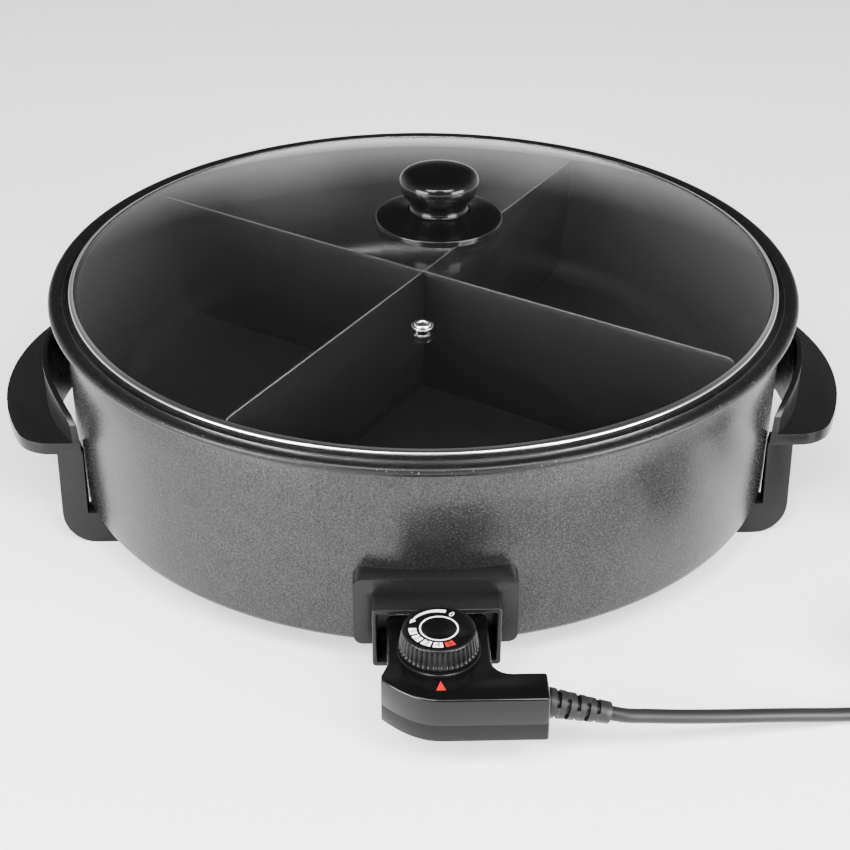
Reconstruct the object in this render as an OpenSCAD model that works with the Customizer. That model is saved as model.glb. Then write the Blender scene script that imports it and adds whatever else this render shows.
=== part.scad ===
// Electric pan with a domed glass lid, a four-way divider and a plug-in probe thermostat.
// Millimetres, +Z up. The origin is on the table, under the middle of the whole appliance.
// The thermostat faces -Y.

/* [Pan] */
// Outside radius of the outer jacket
pan_r = 202; // [175:1:242]
// Gap between the table and the underside of the jacket
foot_h = 18; // [15:1:30]
// Height of the space under the pan floor
under_h = 31; // [28:1:40]
// Depth of the cooking well, from the lid seat to the floor
well_depth = 73; // [58:1:90]
// Slope of the well's wall, as outward run over its height
well_run = 16; // [10:1:22]
// Thickness of the pan sheet
pan_t = 2; // [1.5:0.1:3]
// Thickness of the jacket sheet
jacket_t = 1; // [0.8:0.1:1.5]
// How far the rolled rim stands out past the jacket
rim_overhang = 8; // [5:0.5:12]
// Height of the rolled rim above the lid seat
rim_step = 3.5; // [2.5:0.5:6]

/* [Lid] */
// Rise of the glass dome above its edge
dome_rise = 28.7; // [18:0.1:36]
// Thickness of the glass
glass_t = 4; // [3:0.5:5]
// Width of the steel band round the glass
band_w = 3.2; // [2.5:0.1:5]
// Radius of the knob's base
knob_base_r = 35.3; // [25:0.1:42]
// Radius of the knob's cap
knob_cap_r = 22.1; // [17:0.1:27]
// Height of the knob above the glass
knob_h = 31.2; // [27:0.1:38]
// Offset of the knob from the middle of the lid
knob_x = 8.4; // [0:0.1:20]
// Distance of the steam vent from the middle of the lid
vent_y = 110; // [70:1:140]

/* [Divider] */
// Thickness of the divider plates
plate_t = 1.2; // [1:0.1:2]
// Direction of the long plate
plate_angle = -34.2; // [-60:0.1:0]
// Angle between the two plates
cross_angle = 92; // [85:1:95]
// Gap between the plates and the wall
plate_gap = 2.2; // [1.5:0.1:5]

/* [Handles] */
// Reach of the grip past the jacket
grip_reach = 39; // [32:1:48]
// Half the length of a handle
handle_half = 76.5; // [62:0.5:90]
// Height of the top of the grip
grip_z = 61.5; // [52:0.5:74]
// Thickness of the grip
grip_t = 7; // [5:0.5:9]
// Height of the shield behind the grip
shield_h = 50; // [36:1:56]
// Thickness of the shield
shield_t = 3; // [2:0.5:4]
// Width of a leg
leg_w = 14; // [11:0.5:20]
// Depth of a leg
leg_d = 12; // [9:0.5:16]

/* [Socket] */
// Width of the socket housing
hood_w = 81; // [72:1:96]
// Height of the socket housing
hood_h = 39; // [36:1:46]
// Depth of the socket housing past the jacket
hood_d = 7.5; // [6:0.5:14]
// Outside width of the sleeve that takes the thermostat
sleeve_w = 62.5; // [56:0.5:70]
// Outside height of the sleeve
sleeve_h = 34; // [30:0.5:38]
// Depth of the sleeve past the housing
sleeve_d = 13.3; // [9:0.1:18]
// Wall of the sleeve
sleeve_t = 2.4; // [1.8:0.1:3]
// Height of the pins above the underside of the jacket
pin_up = 19.2; // [18:0.1:24]
// Distance between the two terminal pins
pin_pitch = 28; // [22:0.5:32]
// Radius of a terminal pin
pin_r = 2.4; // [2:0.1:3]

/* [Thermostat] */
// Width of the neck that enters the sleeve
neck_w = 48.6; // [44:0.1:52]
// Thickness of the case
case_h = 24.3; // [21:0.1:26.5]
// Depth of the case past the jacket
case_d = 79; // [70:1:90]
// Reach of the cord arm from the middle of the case
arm_x = 49.5; // [44:0.5:62]
// Width of the cord arm
arm_w = 19; // [16:0.5:24]
// Wall of the case
case_t = 1.8; // [1.4:0.1:2.4]
// Radius of the dial's skirt
dial_r = 19; // [16:0.1:21]
// Radius of the dial's face
dial_face_r = 16.5; // [13:0.1:18]
// Height of the dial above the case
dial_h = 13.2; // [9:0.1:16]
// Distance of the dial from the jacket
dial_y = 43; // [40:0.5:46]
// Length of the probe past the neck
probe_len = 66; // [50:1:80]
// Radius of the probe
probe_r = 3; // [2.5:0.1:3.5]

/* [Cord] */
// Diameter of the cord
cord_d = 7; // [6:0.5:8]
// Length of the strain relief
relief_len = 29; // [22:1:40]

/* [Hidden] */
$fn = 96;

// Heights above the table
seat_z = foot_h + under_h + pan_t + well_depth;
floor_z = seat_z - well_depth;
under_z = floor_z - pan_t;
rim_z = seat_z + rim_step;
pin_z = foot_h + pin_up;

// Radii of the pan
rim_r = pan_r + rim_overhang;
step_r = pan_r - 0.5;
well_r = step_r - 7.5;
foot_r = well_r - well_run;
floor_fillet = 16;
rim_roll = 2.6;
flange_top = rim_z - 0.6;

// The lid
lid_clear = 2.8;
band_r = step_r - lid_clear;
band_h = 4.8;
band_t = 0.5;
glass_r = band_r - band_t - 0.1;
glass_edge_z = seat_z + band_t + 0.1 + glass_t;
dome_top = glass_edge_z + dome_rise;
dome_r = (glass_r * glass_r + dome_rise * dome_rise) / (2 * dome_rise);
dome_c = dome_top - dome_r;
knob_hole_r = 3.2;
knob_screw_r = 2.5;
neck_r = 16.1;
cap_drop = 7.2;
knob_z0 = dome_top + 7.4;
vent_x = -4;
vent_r = 5.6;
vent_hole_r = 2.4;

// The divider
plate_top = seat_z + 0.5;
plate_foot_r = 18;
slot_play = 0.15;

// The front, measured from the jacket
front_y = -pan_r;
hood_y = front_y - hood_d;
sleeve_y = hood_y - sleeve_d;
hood_cz = pin_z + 7.8;
sleeve_cz = pin_z + 1.8;
bracket_y = -sqrt(pow(pan_r - jacket_t, 2) - 1600);
bracket_t = 1.2;
neck_y = sleeve_y + 6;
case_y = front_y - case_d;
case_top_z = pin_z + case_h / 2;
case_low_z = pin_z - case_h / 2;
split_z = case_low_z + 0.38 * case_h;
dial_cy = front_y - dial_y;
arm_cy = case_y + arm_w - 7;
flare_w = 3;

// The appliance's own centre, so that the origin is under the middle of its box
axis_y = (case_d + pan_r - rim_r) / 2;

// Places of the cord
cord_r = cord_d / 2;
relief_drop = 7;
exit_x = arm_x + relief_len;
exit_z = pin_z - relief_drop;
coil_x = 270;
coil_y = -163;
coil_turn_r = 37.5;
coil_half = cord_d;
coil_high = 2 * cord_d;
plug_x = 311;
plug_y = -87;
plug_z = 19;
plug_r = 18.5;
pin_gap = 19;
plug_pin_r = 2.4;
plug_pin_len = 19;

// Route of the cord from inside the strain relief to the coil, by hand
relief_step = 8 * [relief_len, 0, -relief_drop] / norm([relief_len, 0, relief_drop]);
CORD_EXIT = [exit_x, arm_cy + axis_y, exit_z];
CORD_ROUTE = [CORD_EXIT - relief_step, CORD_EXIT, CORD_EXIT + relief_step, [98, -231.3, 25.8],
    [110, -229.3, 23.5], [123, -227, 21.2], [136, -224.5, 18.9], [149, -221.7, 16.5], [162, -218.7, 13.9],
    [175, -215.5, 11], [188, -212.3, 8], [201, -209.4, 5.6], [214, -207, 4.2], [228, -205, 3.6],
    [250, -204, 3.5]];
// Route of the cord from the coil into the plug
TAIL_ROUTE = [[311, -143, 10.6], [311, -135, 12.4], [311, -127, 15], [311, -119, 17.6], [311, -111, 19],
    [311, -101, 19], [311, -87, 19]];

// ---------- helpers ----------

// Points of an arc about [x, y]
function arc(x, y, r, a0, a1, n = 8) =
    [for (i = [0:n]) [x + r * cos(a0 + (a1 - a0) * i / n), y + r * sin(a0 + (a1 - a0) * i / n)]];

// Rectangle from [x0, y0] to [x1, y1] with rounded corners
function round_rect(x0, y0, x1, y1, r) = concat(arc(x1 - r, y1 - r, r, 0, 90), arc(x0 + r, y1 - r, r, 90, 180),
    arc(x0 + r, y0 + r, r, 180, 270), arc(x1 - r, y0 + r, r, 270, 360));

// Smooth curve through a list of points, cut into steps
function spline(p0, p1, p2, p3, t) = 0.5 * (2 * p1 + (p2 - p0) * t
    + (2 * p0 - 5 * p1 + 4 * p2 - p3) * t * t + (3 * p1 - p0 - 3 * p2 + p3) * t * t * t);
function smooth(p, steps) = concat([for (i = [0:len(p) - 2]) for (s = [0:steps - 1])
    spline(p[max(i - 1, 0)], p[i], p[i + 1], p[min(i + 2, len(p) - 1)], s / steps)], [p[len(p) - 1]]);
function unit(v) = v / norm(v);
function heading(p, i) = unit(p[min(i + 1, len(p) - 1)] - p[max(i - 1, 0)]);
function side(d) = unit(cross(d, [0, 0, 1]));
function ring(p, d, r, n) = [for (k = [0:n - 1])
    p + r * (cos(360 * k / n) * side(d) + sin(360 * k / n) * cross(side(d), d))];

// Tube along a path, as one closed skin
module tube(path, r, n = 10) {
    m = len(path);
    skin = [for (i = [0:m - 1]) each ring(path[i], heading(path, i), r, n)];
    walls = [for (i = [0:m - 2]) for (k = [0:n - 1])
        [i * n + k, i * n + (k + 1) % n, (i + 1) * n + (k + 1) % n, (i + 1) * n + k]];
    polyhedron(skin, concat([[for (k = [n - 1:-1:0]) k]], walls, [[for (k = [0:n - 1]) (m - 1) * n + k]]));
}

// Straight round bar between two points
module bar(a, b, r) {
    v = b - a;
    translate(a)
        rotate([0, acos(v[2] / norm(v)), atan2(v[1], v[0])])
            cylinder(r = r, h = norm(v));
}

// Bar along +Y from a point
module along_y(x, y, z, r, len) {
    translate([x, y, z])
        rotate([-90, 0, 0])
            cylinder(r = r, h = len);
}

// Prism of an X-Z outline between two Y values
module slab_y(points, y0, y1) {
    translate([0, y1, 0])
        rotate([90, 0, 0])
            linear_extrude(y1 - y0)
                polygon(points);
}

// Everything is drawn about the pan's axis and then set over the origin
module place() {
    translate([0, axis_y, 0])
        children();
}

// ---------- pan and its underside ----------

// Well, lid seat and rolled rim, spun from one sheet
module inner_pan() color("#1d1d1f") place() {
    wall_foot = foot_r + 3.4;
    inside = concat([[0, floor_z]], arc(foot_r - floor_fillet, floor_z + floor_fillet, floor_fillet, -90, -8, 8),
        [[well_r, seat_z], [step_r, seat_z], [step_r, flange_top]],
        arc(step_r + 1.2, flange_top - 0.6, 1.2, 150, 90, 3),
        arc(rim_r - rim_roll, rim_z - 0.6 - rim_roll, rim_roll, 80, -60, 8));
    outside = concat([[rim_r - rim_roll - 1, rim_z - 0.6 - 2 * rim_roll + 0.6],
        [rim_r - rim_roll - 2, rim_z - 2.6 - 0.4], [step_r + pan_t, rim_z - 2.6], [step_r + pan_t, seat_z - pan_t],
        [well_r + pan_t, seat_z - pan_t]],
        arc(foot_r - floor_fillet, floor_z + floor_fillet, floor_fillet + pan_t, -8, -90, 8), [[0, under_z]]);
    rotate_extrude($fn = 180)
        polygon(concat(inside, outside));
}

// Outer wall with its turned-in foot, open behind the socket
module outer_jacket() color("#8b8c8e") place() {
    top = seat_z - pan_t;
    low = foot_h;
    corner = 4;
    difference() {
        rotate_extrude($fn = 180)
            polygon(concat([[pan_r, top]], arc(pan_r - corner, low + corner, corner, 0, -90, 5),
                [[pan_r - 20, low], [pan_r - 20, low + jacket_t]],
                arc(pan_r - corner, low + corner, corner - jacket_t, -90, 0, 5), [[pan_r - jacket_t, top]]));
        translate([-sleeve_w / 2 + sleeve_t, front_y - 5, sleeve_cz - sleeve_h / 2 + sleeve_t])
            cube([sleeve_w - 2 * sleeve_t, 14, sleeve_h - 2 * sleeve_t]);
        for (s = [-1, 1])
            along_y(s * (sleeve_w / 2 + 4.2), front_y - 5, pin_z, 1.9, 14);
        foot_holes(2.4);
        for (a = [90, 210, 330])
            rotate(a)
                translate([pan_r - 14, 0, low - 1])
                    cylinder(r = 1.8, h = 4, $fn = 24);
    }
}

// Holes for the screws that hold the legs
module foot_holes(r) {
    for (sx = [-1, 1], sy = [-1, 1])
        translate([sx * screw_x, sy * foot_y, foot_h - 1])
            cylinder(r = r, h = 3, $fn = 24);
}
screw_x = pan_r - 27;

// Cover under the heating element
module base_plate() color("#5c5d60") place() {
    r_out = pan_r - jacket_t - 4;
    difference() {
        translate([0, 0, foot_h + jacket_t])
            cylinder(r = r_out, h = 1, $fn = 180);
        for (a = [0:45:315])
            rotate(a + 22.5)
                translate([pan_r - 70, 0, foot_h])
                    linear_extrude(4)
                        polygon(round_rect(-16, -3, 16, 3, 2.9));
        for (a = [90, 210, 330])
            rotate(a)
                translate([pan_r - 14, 0, foot_h])
                    cylinder(r = 1.7, h = 4, $fn = 24);
        translate([0, 0, 0.5])
            foot_holes(2.4);
        translate([0, 0, 1.5])
            foot_holes(2.4);
    }
}

// Screws of the cover
module base_screws() color("#b9bbbe") place() {
    for (a = [90, 210, 330])
        rotate(a)
            translate([pan_r - 14, 0, foot_h - 1.6]) {
                cylinder(r = 3.4, h = 1.6, $fn = 32);
                cylinder(r = 1.6, h = 9, $fn = 32);
            }
}

element_r = pan_r - 78;
element_tube = 3.6;
element_z = under_z - element_tube;
element_end = asin(pin_pitch / 2 / element_r);

// Sheathed ring under the pan floor, with two legs to the socket
module heating_element() color("#6f6a64") place() {
    translate([0, 0, element_z])
        rotate(-90 + element_end)
            rotate_extrude(angle = 360 - 2 * element_end, $fn = 144)
                translate([element_r, 0])
                    circle(r = element_tube - 0.3, $fn = 32);
    for (s = [-1, 1]) {
        x = s * pin_pitch / 2;
        y = -element_r * cos(element_end);
        translate([x, y, element_z])
            sphere(r = element_tube, $fn = 32);
        bar([x, y, element_z], [x, front_y + 38, pin_z], element_tube - 0.3);
        translate([x, front_y + 38, pin_z])
            sphere(r = element_tube, $fn = 32);
        bar([x, front_y + 38, pin_z], [x, front_y + 12, pin_z], element_tube - 0.3);
    }
}

// Straps that hold the ring against the floor
module element_straps() color("#a9abad") place() {
    for (a = [0, 90, 180])
        rotate(a)
            translate([element_r, 0, 0]) {
                slab_y([[-14, under_z], [-14, under_z - 1], [-4.5, under_z - 1], [-4.5, element_z - 4.5],
                    [4.5, element_z - 4.5], [4.5, under_z - 1], [14, under_z - 1], [14, under_z],
                    [3.5, under_z], [3.5, element_z - 3.5], [-3.5, element_z - 3.5], [-3.5, under_z]], -6, 6);
            }
}

// Plated pins that carry the mains into the ring
module terminal_pins() color("#c9cacc") place() {
    for (s = [-1, 1])
        along_y(s * pin_pitch / 2, neck_y - 9, pin_z, pin_r, front_y + 12 - neck_y + 9);
}

// Ceramic beads round the pins
module pin_insulators() color("#e8e4da") place() {
    for (s = [-1, 1])
        difference() {
            along_y(s * pin_pitch / 2, front_y - 2, pin_z, 5.6, 12);
            along_y(s * pin_pitch / 2, front_y - 3, pin_z, pin_r, 14);
        }
}

// Spring that earths the pan
module earth_spring() color("#d0b268") place() {
    post_y = -(foot_r - floor_fillet + 6);
    post_z = floor_z + floor_fillet - sqrt(pow(floor_fillet + pan_t, 2) - 36);
    slab_y([[-4, pin_z + 8], [4, pin_z + 8], [4, pin_z + 8.8], [-4, pin_z + 8.8]], neck_y - 8, post_y);
    slab_y([[-4, pin_z + 8], [4, pin_z + 8], [4, post_z], [-4, post_z]], post_y - 1, post_y);
}

guide_play = 0.4;
guide_end = neck_y + probe_len + probe_r + 2.5;

// Tube and block that take the probe and bring it the heat of the floor
module probe_guide() color("#9b9da0") place() {
    difference() {
        union() {
            along_y(0, bracket_y + bracket_t, pin_z, probe_r + guide_play + 1.2, guide_end - bracket_y - bracket_t);
            translate([-8, guide_end - 20, pin_z])
                cube([16, 20, under_z - pin_z]);
        }
        along_y(0, bracket_y, pin_z, probe_r + guide_play, guide_end - 1.5 - bracket_y);
    }
}

// Fuse that opens if the thermostat fails
module thermal_fuse() color("#c7c9cb") place() {
    along_y(-24, -60, under_z - 4, 4, 26);
    for (y = [-72, -34])
        along_y(-24, y, under_z - 4, 0.8, 12);
}

// Plate inside the jacket that carries the pins, the probe's guide and the earth spring
module terminal_bracket() color("#a3a5a8") place() {
    difference() {
        slab_y(round_rect(-40, sleeve_cz - 17, 40, sleeve_cz + 17, 3), bracket_y, bracket_y + bracket_t);
        for (s = [-1, 1]) {
            along_y(s * pin_pitch / 2, bracket_y - 1, pin_z, 5.6, 4);
            along_y(s * (sleeve_w / 2 + 4.2), bracket_y - 1, pin_z, 1.7, 4);
        }
        along_y(0, bracket_y - 1, pin_z, probe_r + guide_play, 4);
        translate([-5, bracket_y - 1, pin_z + 7])
            cube([10, 4, 3]);
    }
}

// Housing that bridges the jacket and holds the sleeve
module socket_housing() color("#202123") place() {
    difference() {
        slab_y(round_rect(-hood_w / 2, hood_cz - hood_h / 2, hood_w / 2, hood_cz + hood_h / 2, 5),
            hood_y, front_y + 8);
        cylinder(r = pan_r, h = 200, $fn = 180);
        slab_y(round_rect(-sleeve_w / 2, sleeve_cz - sleeve_h / 2, sleeve_w / 2, sleeve_cz + sleeve_h / 2, 2),
            hood_y - 1, front_y + 9);
        for (s = [-1, 1])
            along_y(s * (sleeve_w / 2 + 4.2), hood_y + 2, pin_z, 1.6, 14);
    }
}

// Open sleeve that the thermostat's neck slides into
module socket_sleeve() color("#262729") place() {
    outer = round_rect(-sleeve_w / 2, sleeve_cz - sleeve_h / 2, sleeve_w / 2, sleeve_cz + sleeve_h / 2, 2);
    inner = round_rect(-sleeve_w / 2 + sleeve_t, sleeve_cz - sleeve_h / 2 + sleeve_t, sleeve_w / 2 - sleeve_t,
        sleeve_cz + sleeve_h / 2 - sleeve_t, 1);
    difference() {
        slab_y(outer, sleeve_y, front_y + 8);
        cylinder(r = pan_r, h = 200, $fn = 180);
        slab_y(inner, sleeve_y - 1, front_y + 9);
    }
}

// Screws that hold the housing from inside the jacket
module socket_screws() color("#b9bbbe") place() {
    for (s = [-1, 1]) {
        along_y(s * (sleeve_w / 2 + 4.2), hood_y + 2, pin_z, 1.5, bracket_y + bracket_t + 1 - hood_y - 2);
        along_y(s * (sleeve_w / 2 + 4.2), bracket_y + bracket_t, pin_z, 3.2, 2);
    }
}

// ---------- handles ----------

shield_x = pan_r + 16.5;
shield_r = 130;
grip_x = pan_r + grip_reach;
grip_r = 146;
leg_out = pan_r + 1.3;
leg_in = leg_out - leg_w;
leg_splay = 7;
leg_top = handle_half - 1;
foot_y = leg_top + leg_splay - leg_d / 2;
grip_corner = 22;
corner_y = handle_half - grip_corner;
corner_x = grip_x - grip_r + sqrt(pow(grip_r - grip_corner, 2) - corner_y * corner_y);
corner_a = atan(corner_y / (corner_x - grip_x + grip_r));

// Region inside the grip's outer arc, on the right-hand side
module grip_outline() {
    polygon(concat([[leg_in - 30, -handle_half]], arc(corner_x, -corner_y, grip_corner, -90, -corner_a, 8),
        arc(grip_x - grip_r, 0, grip_r, -corner_a, corner_a, 24),
        arc(corner_x, corner_y, grip_corner, corner_a, 90, 8), [[leg_in - 30, handle_half]]));
}

// Right-hand handle: crescent grip, curved shield and two legs whose feet carry the pan
module handle() {
    difference() {
        union() {
            translate([0, 0, grip_z - grip_t])
                linear_extrude(grip_t)
                    difference() {
                        grip_outline();
                        translate([shield_x - shield_r, 0])
                            circle(r = shield_r - shield_t, $fn = 144);
                    }
            intersection() {
                translate([shield_x - shield_r, 0, 0])
                    difference() {
                        cylinder(r = shield_r, h = 200, $fn = 144);
                        translate([0, 0, -1])
                            cylinder(r = shield_r - shield_t, h = 202, $fn = 144);
                    }
                translate([leg_in - 10, 0, 0])
                    rotate([90, 0, 90])
                        linear_extrude(80)
                            polygon(shield_face());
            }
            leg();
            mirror([0, 1, 0])
                leg();
        }
        difference() {
            translate([0, 0, foot_h])
                cylinder(r = pan_r + 0.6, h = 200, $fn = 180);
            translate([0, 0, foot_h - 1])
                cylinder(r = 10, h = 1);
        }
        for (sy = [-1, 1])
            translate([screw_x, sy * foot_y, -1]) {
                cylinder(r = 2.3, h = foot_h + 2, $fn = 24);
                cylinder(r = 4.4, h = 8, $fn = 24);
            }
    }
}

// Leg that splays outwards towards its foot
module leg() {
    z = grip_z - grip_t + 1;
    intersection() {
        slab_y(leg_face(), -leg_top - leg_splay - 1, -leg_top + leg_d + 1);
        translate([leg_in - 60, 0, 0])
            rotate([90, 0, 90])
                linear_extrude(120)
                    polygon([[-leg_top, z], [-leg_top + leg_d, z], [-leg_top - leg_splay + leg_d, 0],
                        [-leg_top - leg_splay, 0]]);
    }
}

// Y-Z outline of the shield, with an arched top
function shield_face() = let (top = grip_z + 24.5, low = top - shield_h, h = handle_half)
    concat([[-h, grip_z - 1], [-h, grip_z - grip_t], [-h + leg_d, grip_z - grip_t - 6], [-h * 0.6, low], [h * 0.6, low],
        [h - leg_d, grip_z - grip_t - 6], [h, grip_z - grip_t], [h, grip_z - 1]],
        [for (i = [0:16]) [h * cos(180 * i / 16), grip_z - 1 + (top - grip_z + 1) * sqrt(sin(180 * i / 16))]]);

// X-Z outline of a leg, with its foot turned in under the pan
function leg_face() = concat([[leg_in, grip_z - grip_t + 1], [leg_in, foot_h], [pan_r - 40, foot_h],
    [pan_r - 40, 0]], arc(leg_out - 18, 18, 18, -90, 0, 8), [[leg_out, grip_z - grip_t + 1]]);

module handle_right() color("#1f2022") place() handle();
module handle_left() color("#1f2022") place() mirror([1, 0, 0]) handle();

// Screws up through the feet into the jacket
module handle_screws() color("#b9bbbe") place() {
    for (sx = [-1, 1], sy = [-1, 1])
        translate([sx * screw_x, sy * foot_y, 0]) {
            translate([0, 0, 4.6])
                cylinder(r = 4, h = 2.4, $fn = 32);
            translate([0, 0, 6])
                cylinder(r = 2, h = foot_h + 1, $fn = 32);
        }
}

// ---------- lid ----------

// Height of the glass dome's outside and inside at a radius
function dome_z(r) = dome_c + sqrt(dome_r * dome_r - r * r);
function dome_under(r) = dome_c + sqrt(pow(dome_r - glass_t, 2) - r * r);

// Domed glass with holes for the knob and the vent
module lid_glass() color("#9fb0b5", 0.35) place() {
    n = 24;
    difference() {
        rotate_extrude($fn = 180)
            polygon(concat([for (i = [0:n]) let (r = glass_r * i / n) [r, dome_z(r)]],
                [for (i = [n:-1:0]) let (r = glass_r * i / n) [r, dome_under(r)]]));
        translate([knob_x, 0, dome_top - 20])
            cylinder(r = knob_hole_r, h = 40, $fn = 32);
        translate([vent_x, -vent_y, dome_top - 40])
            cylinder(r = vent_hole_r + 1.2, h = 60, $fn = 32);
    }
}

// Steel band folded round the edge of the glass
module lid_band() color("#c9cbce") place() {
    in_r = band_r - band_w;
    top = glass_edge_z + band_t + 0.2;
    rotate_extrude($fn = 180)
        polygon([[in_r, seat_z], [band_r - 0.6, seat_z], [band_r, seat_z + 0.6], [band_r, top - 0.8],
            [band_r - 0.8, top], [in_r, dome_z(in_r) + band_t + 0.15], [in_r, dome_z(in_r) + 0.1],
            [glass_r + 0.05, dome_z(glass_r) + 0.1], [glass_r + 0.05, dome_under(glass_r) - 0.1],
            [in_r, dome_under(in_r) - 0.1]]);
}

// Low cone that spreads the knob's load over the glass
module knob_base() color("#111113") place() {
    difference() {
        translate([knob_x, 0, 0])
            rotate_extrude()
                polygon(concat([[knob_screw_r + 0.3, dome_top - 4], [knob_base_r - 1.2, dome_top - 4],
                    [knob_base_r, dome_top + 0.6]], arc(knob_base_r - 1.2, dome_top + 2.4, 1.2, 0, 80, 4),
                    [[knob_base_r - 7, dome_top + 4.6], [neck_r + 3, knob_z0 - 1], [neck_r + 0.6, knob_z0],
                    [knob_screw_r + 0.3, knob_z0]]));
        translate([0, 0, dome_c])
            sphere(r = dome_r + 0.2, $fn = 360);
    }
}

// Waisted grip with a domed cap
module knob_grip() color("#111113") place() {
    z0 = knob_z0;
    cap_z = dome_top + knob_h - cap_drop;
    fall = cap_z - z0;
    reach = knob_cap_r - neck_r;
    translate([knob_x, 0, 0])
        rotate_extrude()
            polygon([[0, z0 + 8], [knob_screw_r, z0 + 8], [knob_screw_r, z0], [neck_r - 0.4, z0],
                [neck_r, z0 + 0.5], [neck_r - 0.6, z0 + 0.13 * fall], [neck_r - 0.4, z0 + 0.22 * fall],
                [neck_r + 0.1 * reach, z0 + 0.3 * fall], [neck_r + 0.35 * reach, z0 + 0.4 * fall],
                [neck_r + 0.58 * reach, z0 + 0.5 * fall], [neck_r + 0.77 * reach, z0 + 0.61 * fall],
                [neck_r + 0.91 * reach, z0 + 0.74 * fall], [neck_r + 0.98 * reach, z0 + 0.86 * fall],
                [knob_cap_r, cap_z], [knob_cap_r - 0.5, cap_z + 0.3 * cap_drop],
                [knob_cap_r - 1.5, cap_z + 0.49 * cap_drop], [knob_cap_r - 3.1, cap_z + 0.64 * cap_drop],
                [0.74 * knob_cap_r, cap_z + 0.77 * cap_drop], [0.5 * knob_cap_r, cap_z + 0.9 * cap_drop],
                [0.2 * knob_cap_r, cap_z + 0.98 * cap_drop], [0, cap_z + cap_drop]]);
}

// Screw up through the glass into the knob
module knob_screw() color("#b9bbbe") place() {
    translate([knob_x, 0, 0]) {
        translate([0, 0, dome_top - glass_t - 4])
            cylinder(r = 5, h = 2.4, $fn = 32);
        translate([0, 0, dome_top - glass_t - 2])
            cylinder(r = knob_screw_r - 0.1, h = knob_z0 + 7 - dome_top + glass_t + 2, $fn = 32);
    }
}

// Washer between the screw head and the glass
module knob_washer() color("#3a3a3c") place() {
    translate([knob_x, 0, dome_top - glass_t - 1.6])
        difference() {
            cylinder(r = 8, h = 1.4, $fn = 48);
            translate([0, 0, -1])
                cylinder(r = knob_screw_r + 0.1, h = 4, $fn = 32);
        }
}

// Eyelet that lets steam out
module steam_vent() color("#d4d6d8") place() {
    z = dome_z(vent_y);
    translate([vent_x, -vent_y, 0])
        rotate_extrude($fn = 48)
            polygon([[vent_hole_r, z - glass_t - 1.6], [vent_hole_r + 1.5, z - glass_t - 1.6],
                [vent_hole_r + 1.5, z - glass_t - 0.9], [vent_hole_r + 1, z - glass_t - 0.8], [vent_hole_r + 1, z + 1.1],
                [vent_r, z + 1], [vent_r, z + 1.6], [vent_r - 0.6, z + 1.8], [vent_hole_r + 1.9, z + 1.9],
                [vent_hole_r + 1.5, z + 2.6], [vent_hole_r + 0.9, z + 2.8], [vent_hole_r + 0.2, z + 2.6],
                [vent_hole_r, z + 2.2]]);
}

// ---------- divider ----------

// Wall radius of the well at a height above the floor
function wall_r(h) = foot_r + (well_r - foot_r) * h / well_depth;

// Outline of a plate, standing on the floor
function plate_face() = let (g = plate_gap, t = plate_top - floor_z, top = wall_r(well_depth) - g,
    low = wall_r(plate_foot_r) - g - 1.4, r = 5)
    concat([[-top + 1, t - r]], arc(-top + 1 + r, t - r, r, 180, 90, 4), arc(top - 1 - r, t - r, r, 90, 0, 4),
        arc(low - plate_foot_r, plate_foot_r, plate_foot_r, 0, -90, 6),
        arc(-low + plate_foot_r, plate_foot_r, plate_foot_r, -90, -180, 6));

module plate() {
    rotate([90, 0, 0])
        translate([0, 0, -plate_t / 2])
            linear_extrude(plate_t)
                polygon(plate_face());
}

// Plate with its slot cut from below
module divider_long() color("#1b1b1d") place() {
    rotate(plate_angle)
        translate([0, 0, floor_z])
            difference() {
                plate();
                rotate(cross_angle)
                    translate([-10, -plate_t / 2 - slot_play, -1])
                        cube([20, plate_t + 2 * slot_play, (plate_top - floor_z) / 2 + 1]);
            }
}

// Plate with its slot cut from above
module divider_short() color("#1b1b1d") place() {
    rotate(plate_angle + cross_angle)
        translate([0, 0, floor_z])
            difference() {
                plate();
                rotate(-cross_angle)
                    translate([-10, -plate_t / 2 - slot_play, (plate_top - floor_z) / 2])
                        cube([20, plate_t + 2 * slot_play, plate_top]);
            }
}

// ---------- thermostat ----------

// Plan of the case: neck, flare, curved front and cord arm
function case_plan(in = 0) = let (w = neck_w / 2 - in, y0 = neck_y - in, y1 = case_y + in,
    fx = neck_w / 2 + flare_w - in, ax = arm_x - in, ay = case_y + arm_w - in, bow = 16)
    concat(arc(w - 3, y0 - 3, 3, 0, 90, 3), arc(-w + 3, y0 - 3, 3, 90, 180, 3),
        [[-w, case_y + 27 + in], [-fx, case_y + 19]],
        [for (i = [0:8]) let (t = 1 - i / 8) [0.5 - (fx + 0.5) * t, y1 + (bow - in / 2) * t * t]],
        arc(ax - 1.5, y1 + 1.5, 1.5, -90, 0, 3), arc(ax - 1.5, ay - 1.5, 1.5, 0, 90, 3),
        arc(w + 9, ay + 9, 9, -90, -180, 6));

// Upper half of the case, hollow from below
module case_top() color("#0e0e10") place() {
    difference() {
        union() {
            difference() {
                translate([0, 0, split_z])
                    linear_extrude(case_top_z - split_z)
                        polygon(case_plan());
                translate([0, 0, split_z - 1])
                    linear_extrude(case_top_z - case_t - split_z + 1)
                        polygon(case_plan(case_t));
            }
            for (p = case_screw_places())
                translate([p[0], p[1], split_z])
                    cylinder(r = 2.4, h = case_top_z - 1 - split_z, $fn = 32);
        }
        for (p = case_screw_places())
            translate([p[0], p[1], split_z - 1])
                cylinder(r = 1.3, h = 6.5, $fn = 32);
        translate([0, dial_cy, case_top_z - case_t - 1])
            cylinder(r = 4.4, h = case_t + 2, $fn = 48);
        front_openings();
        relief_bore();
    }
}

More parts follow.
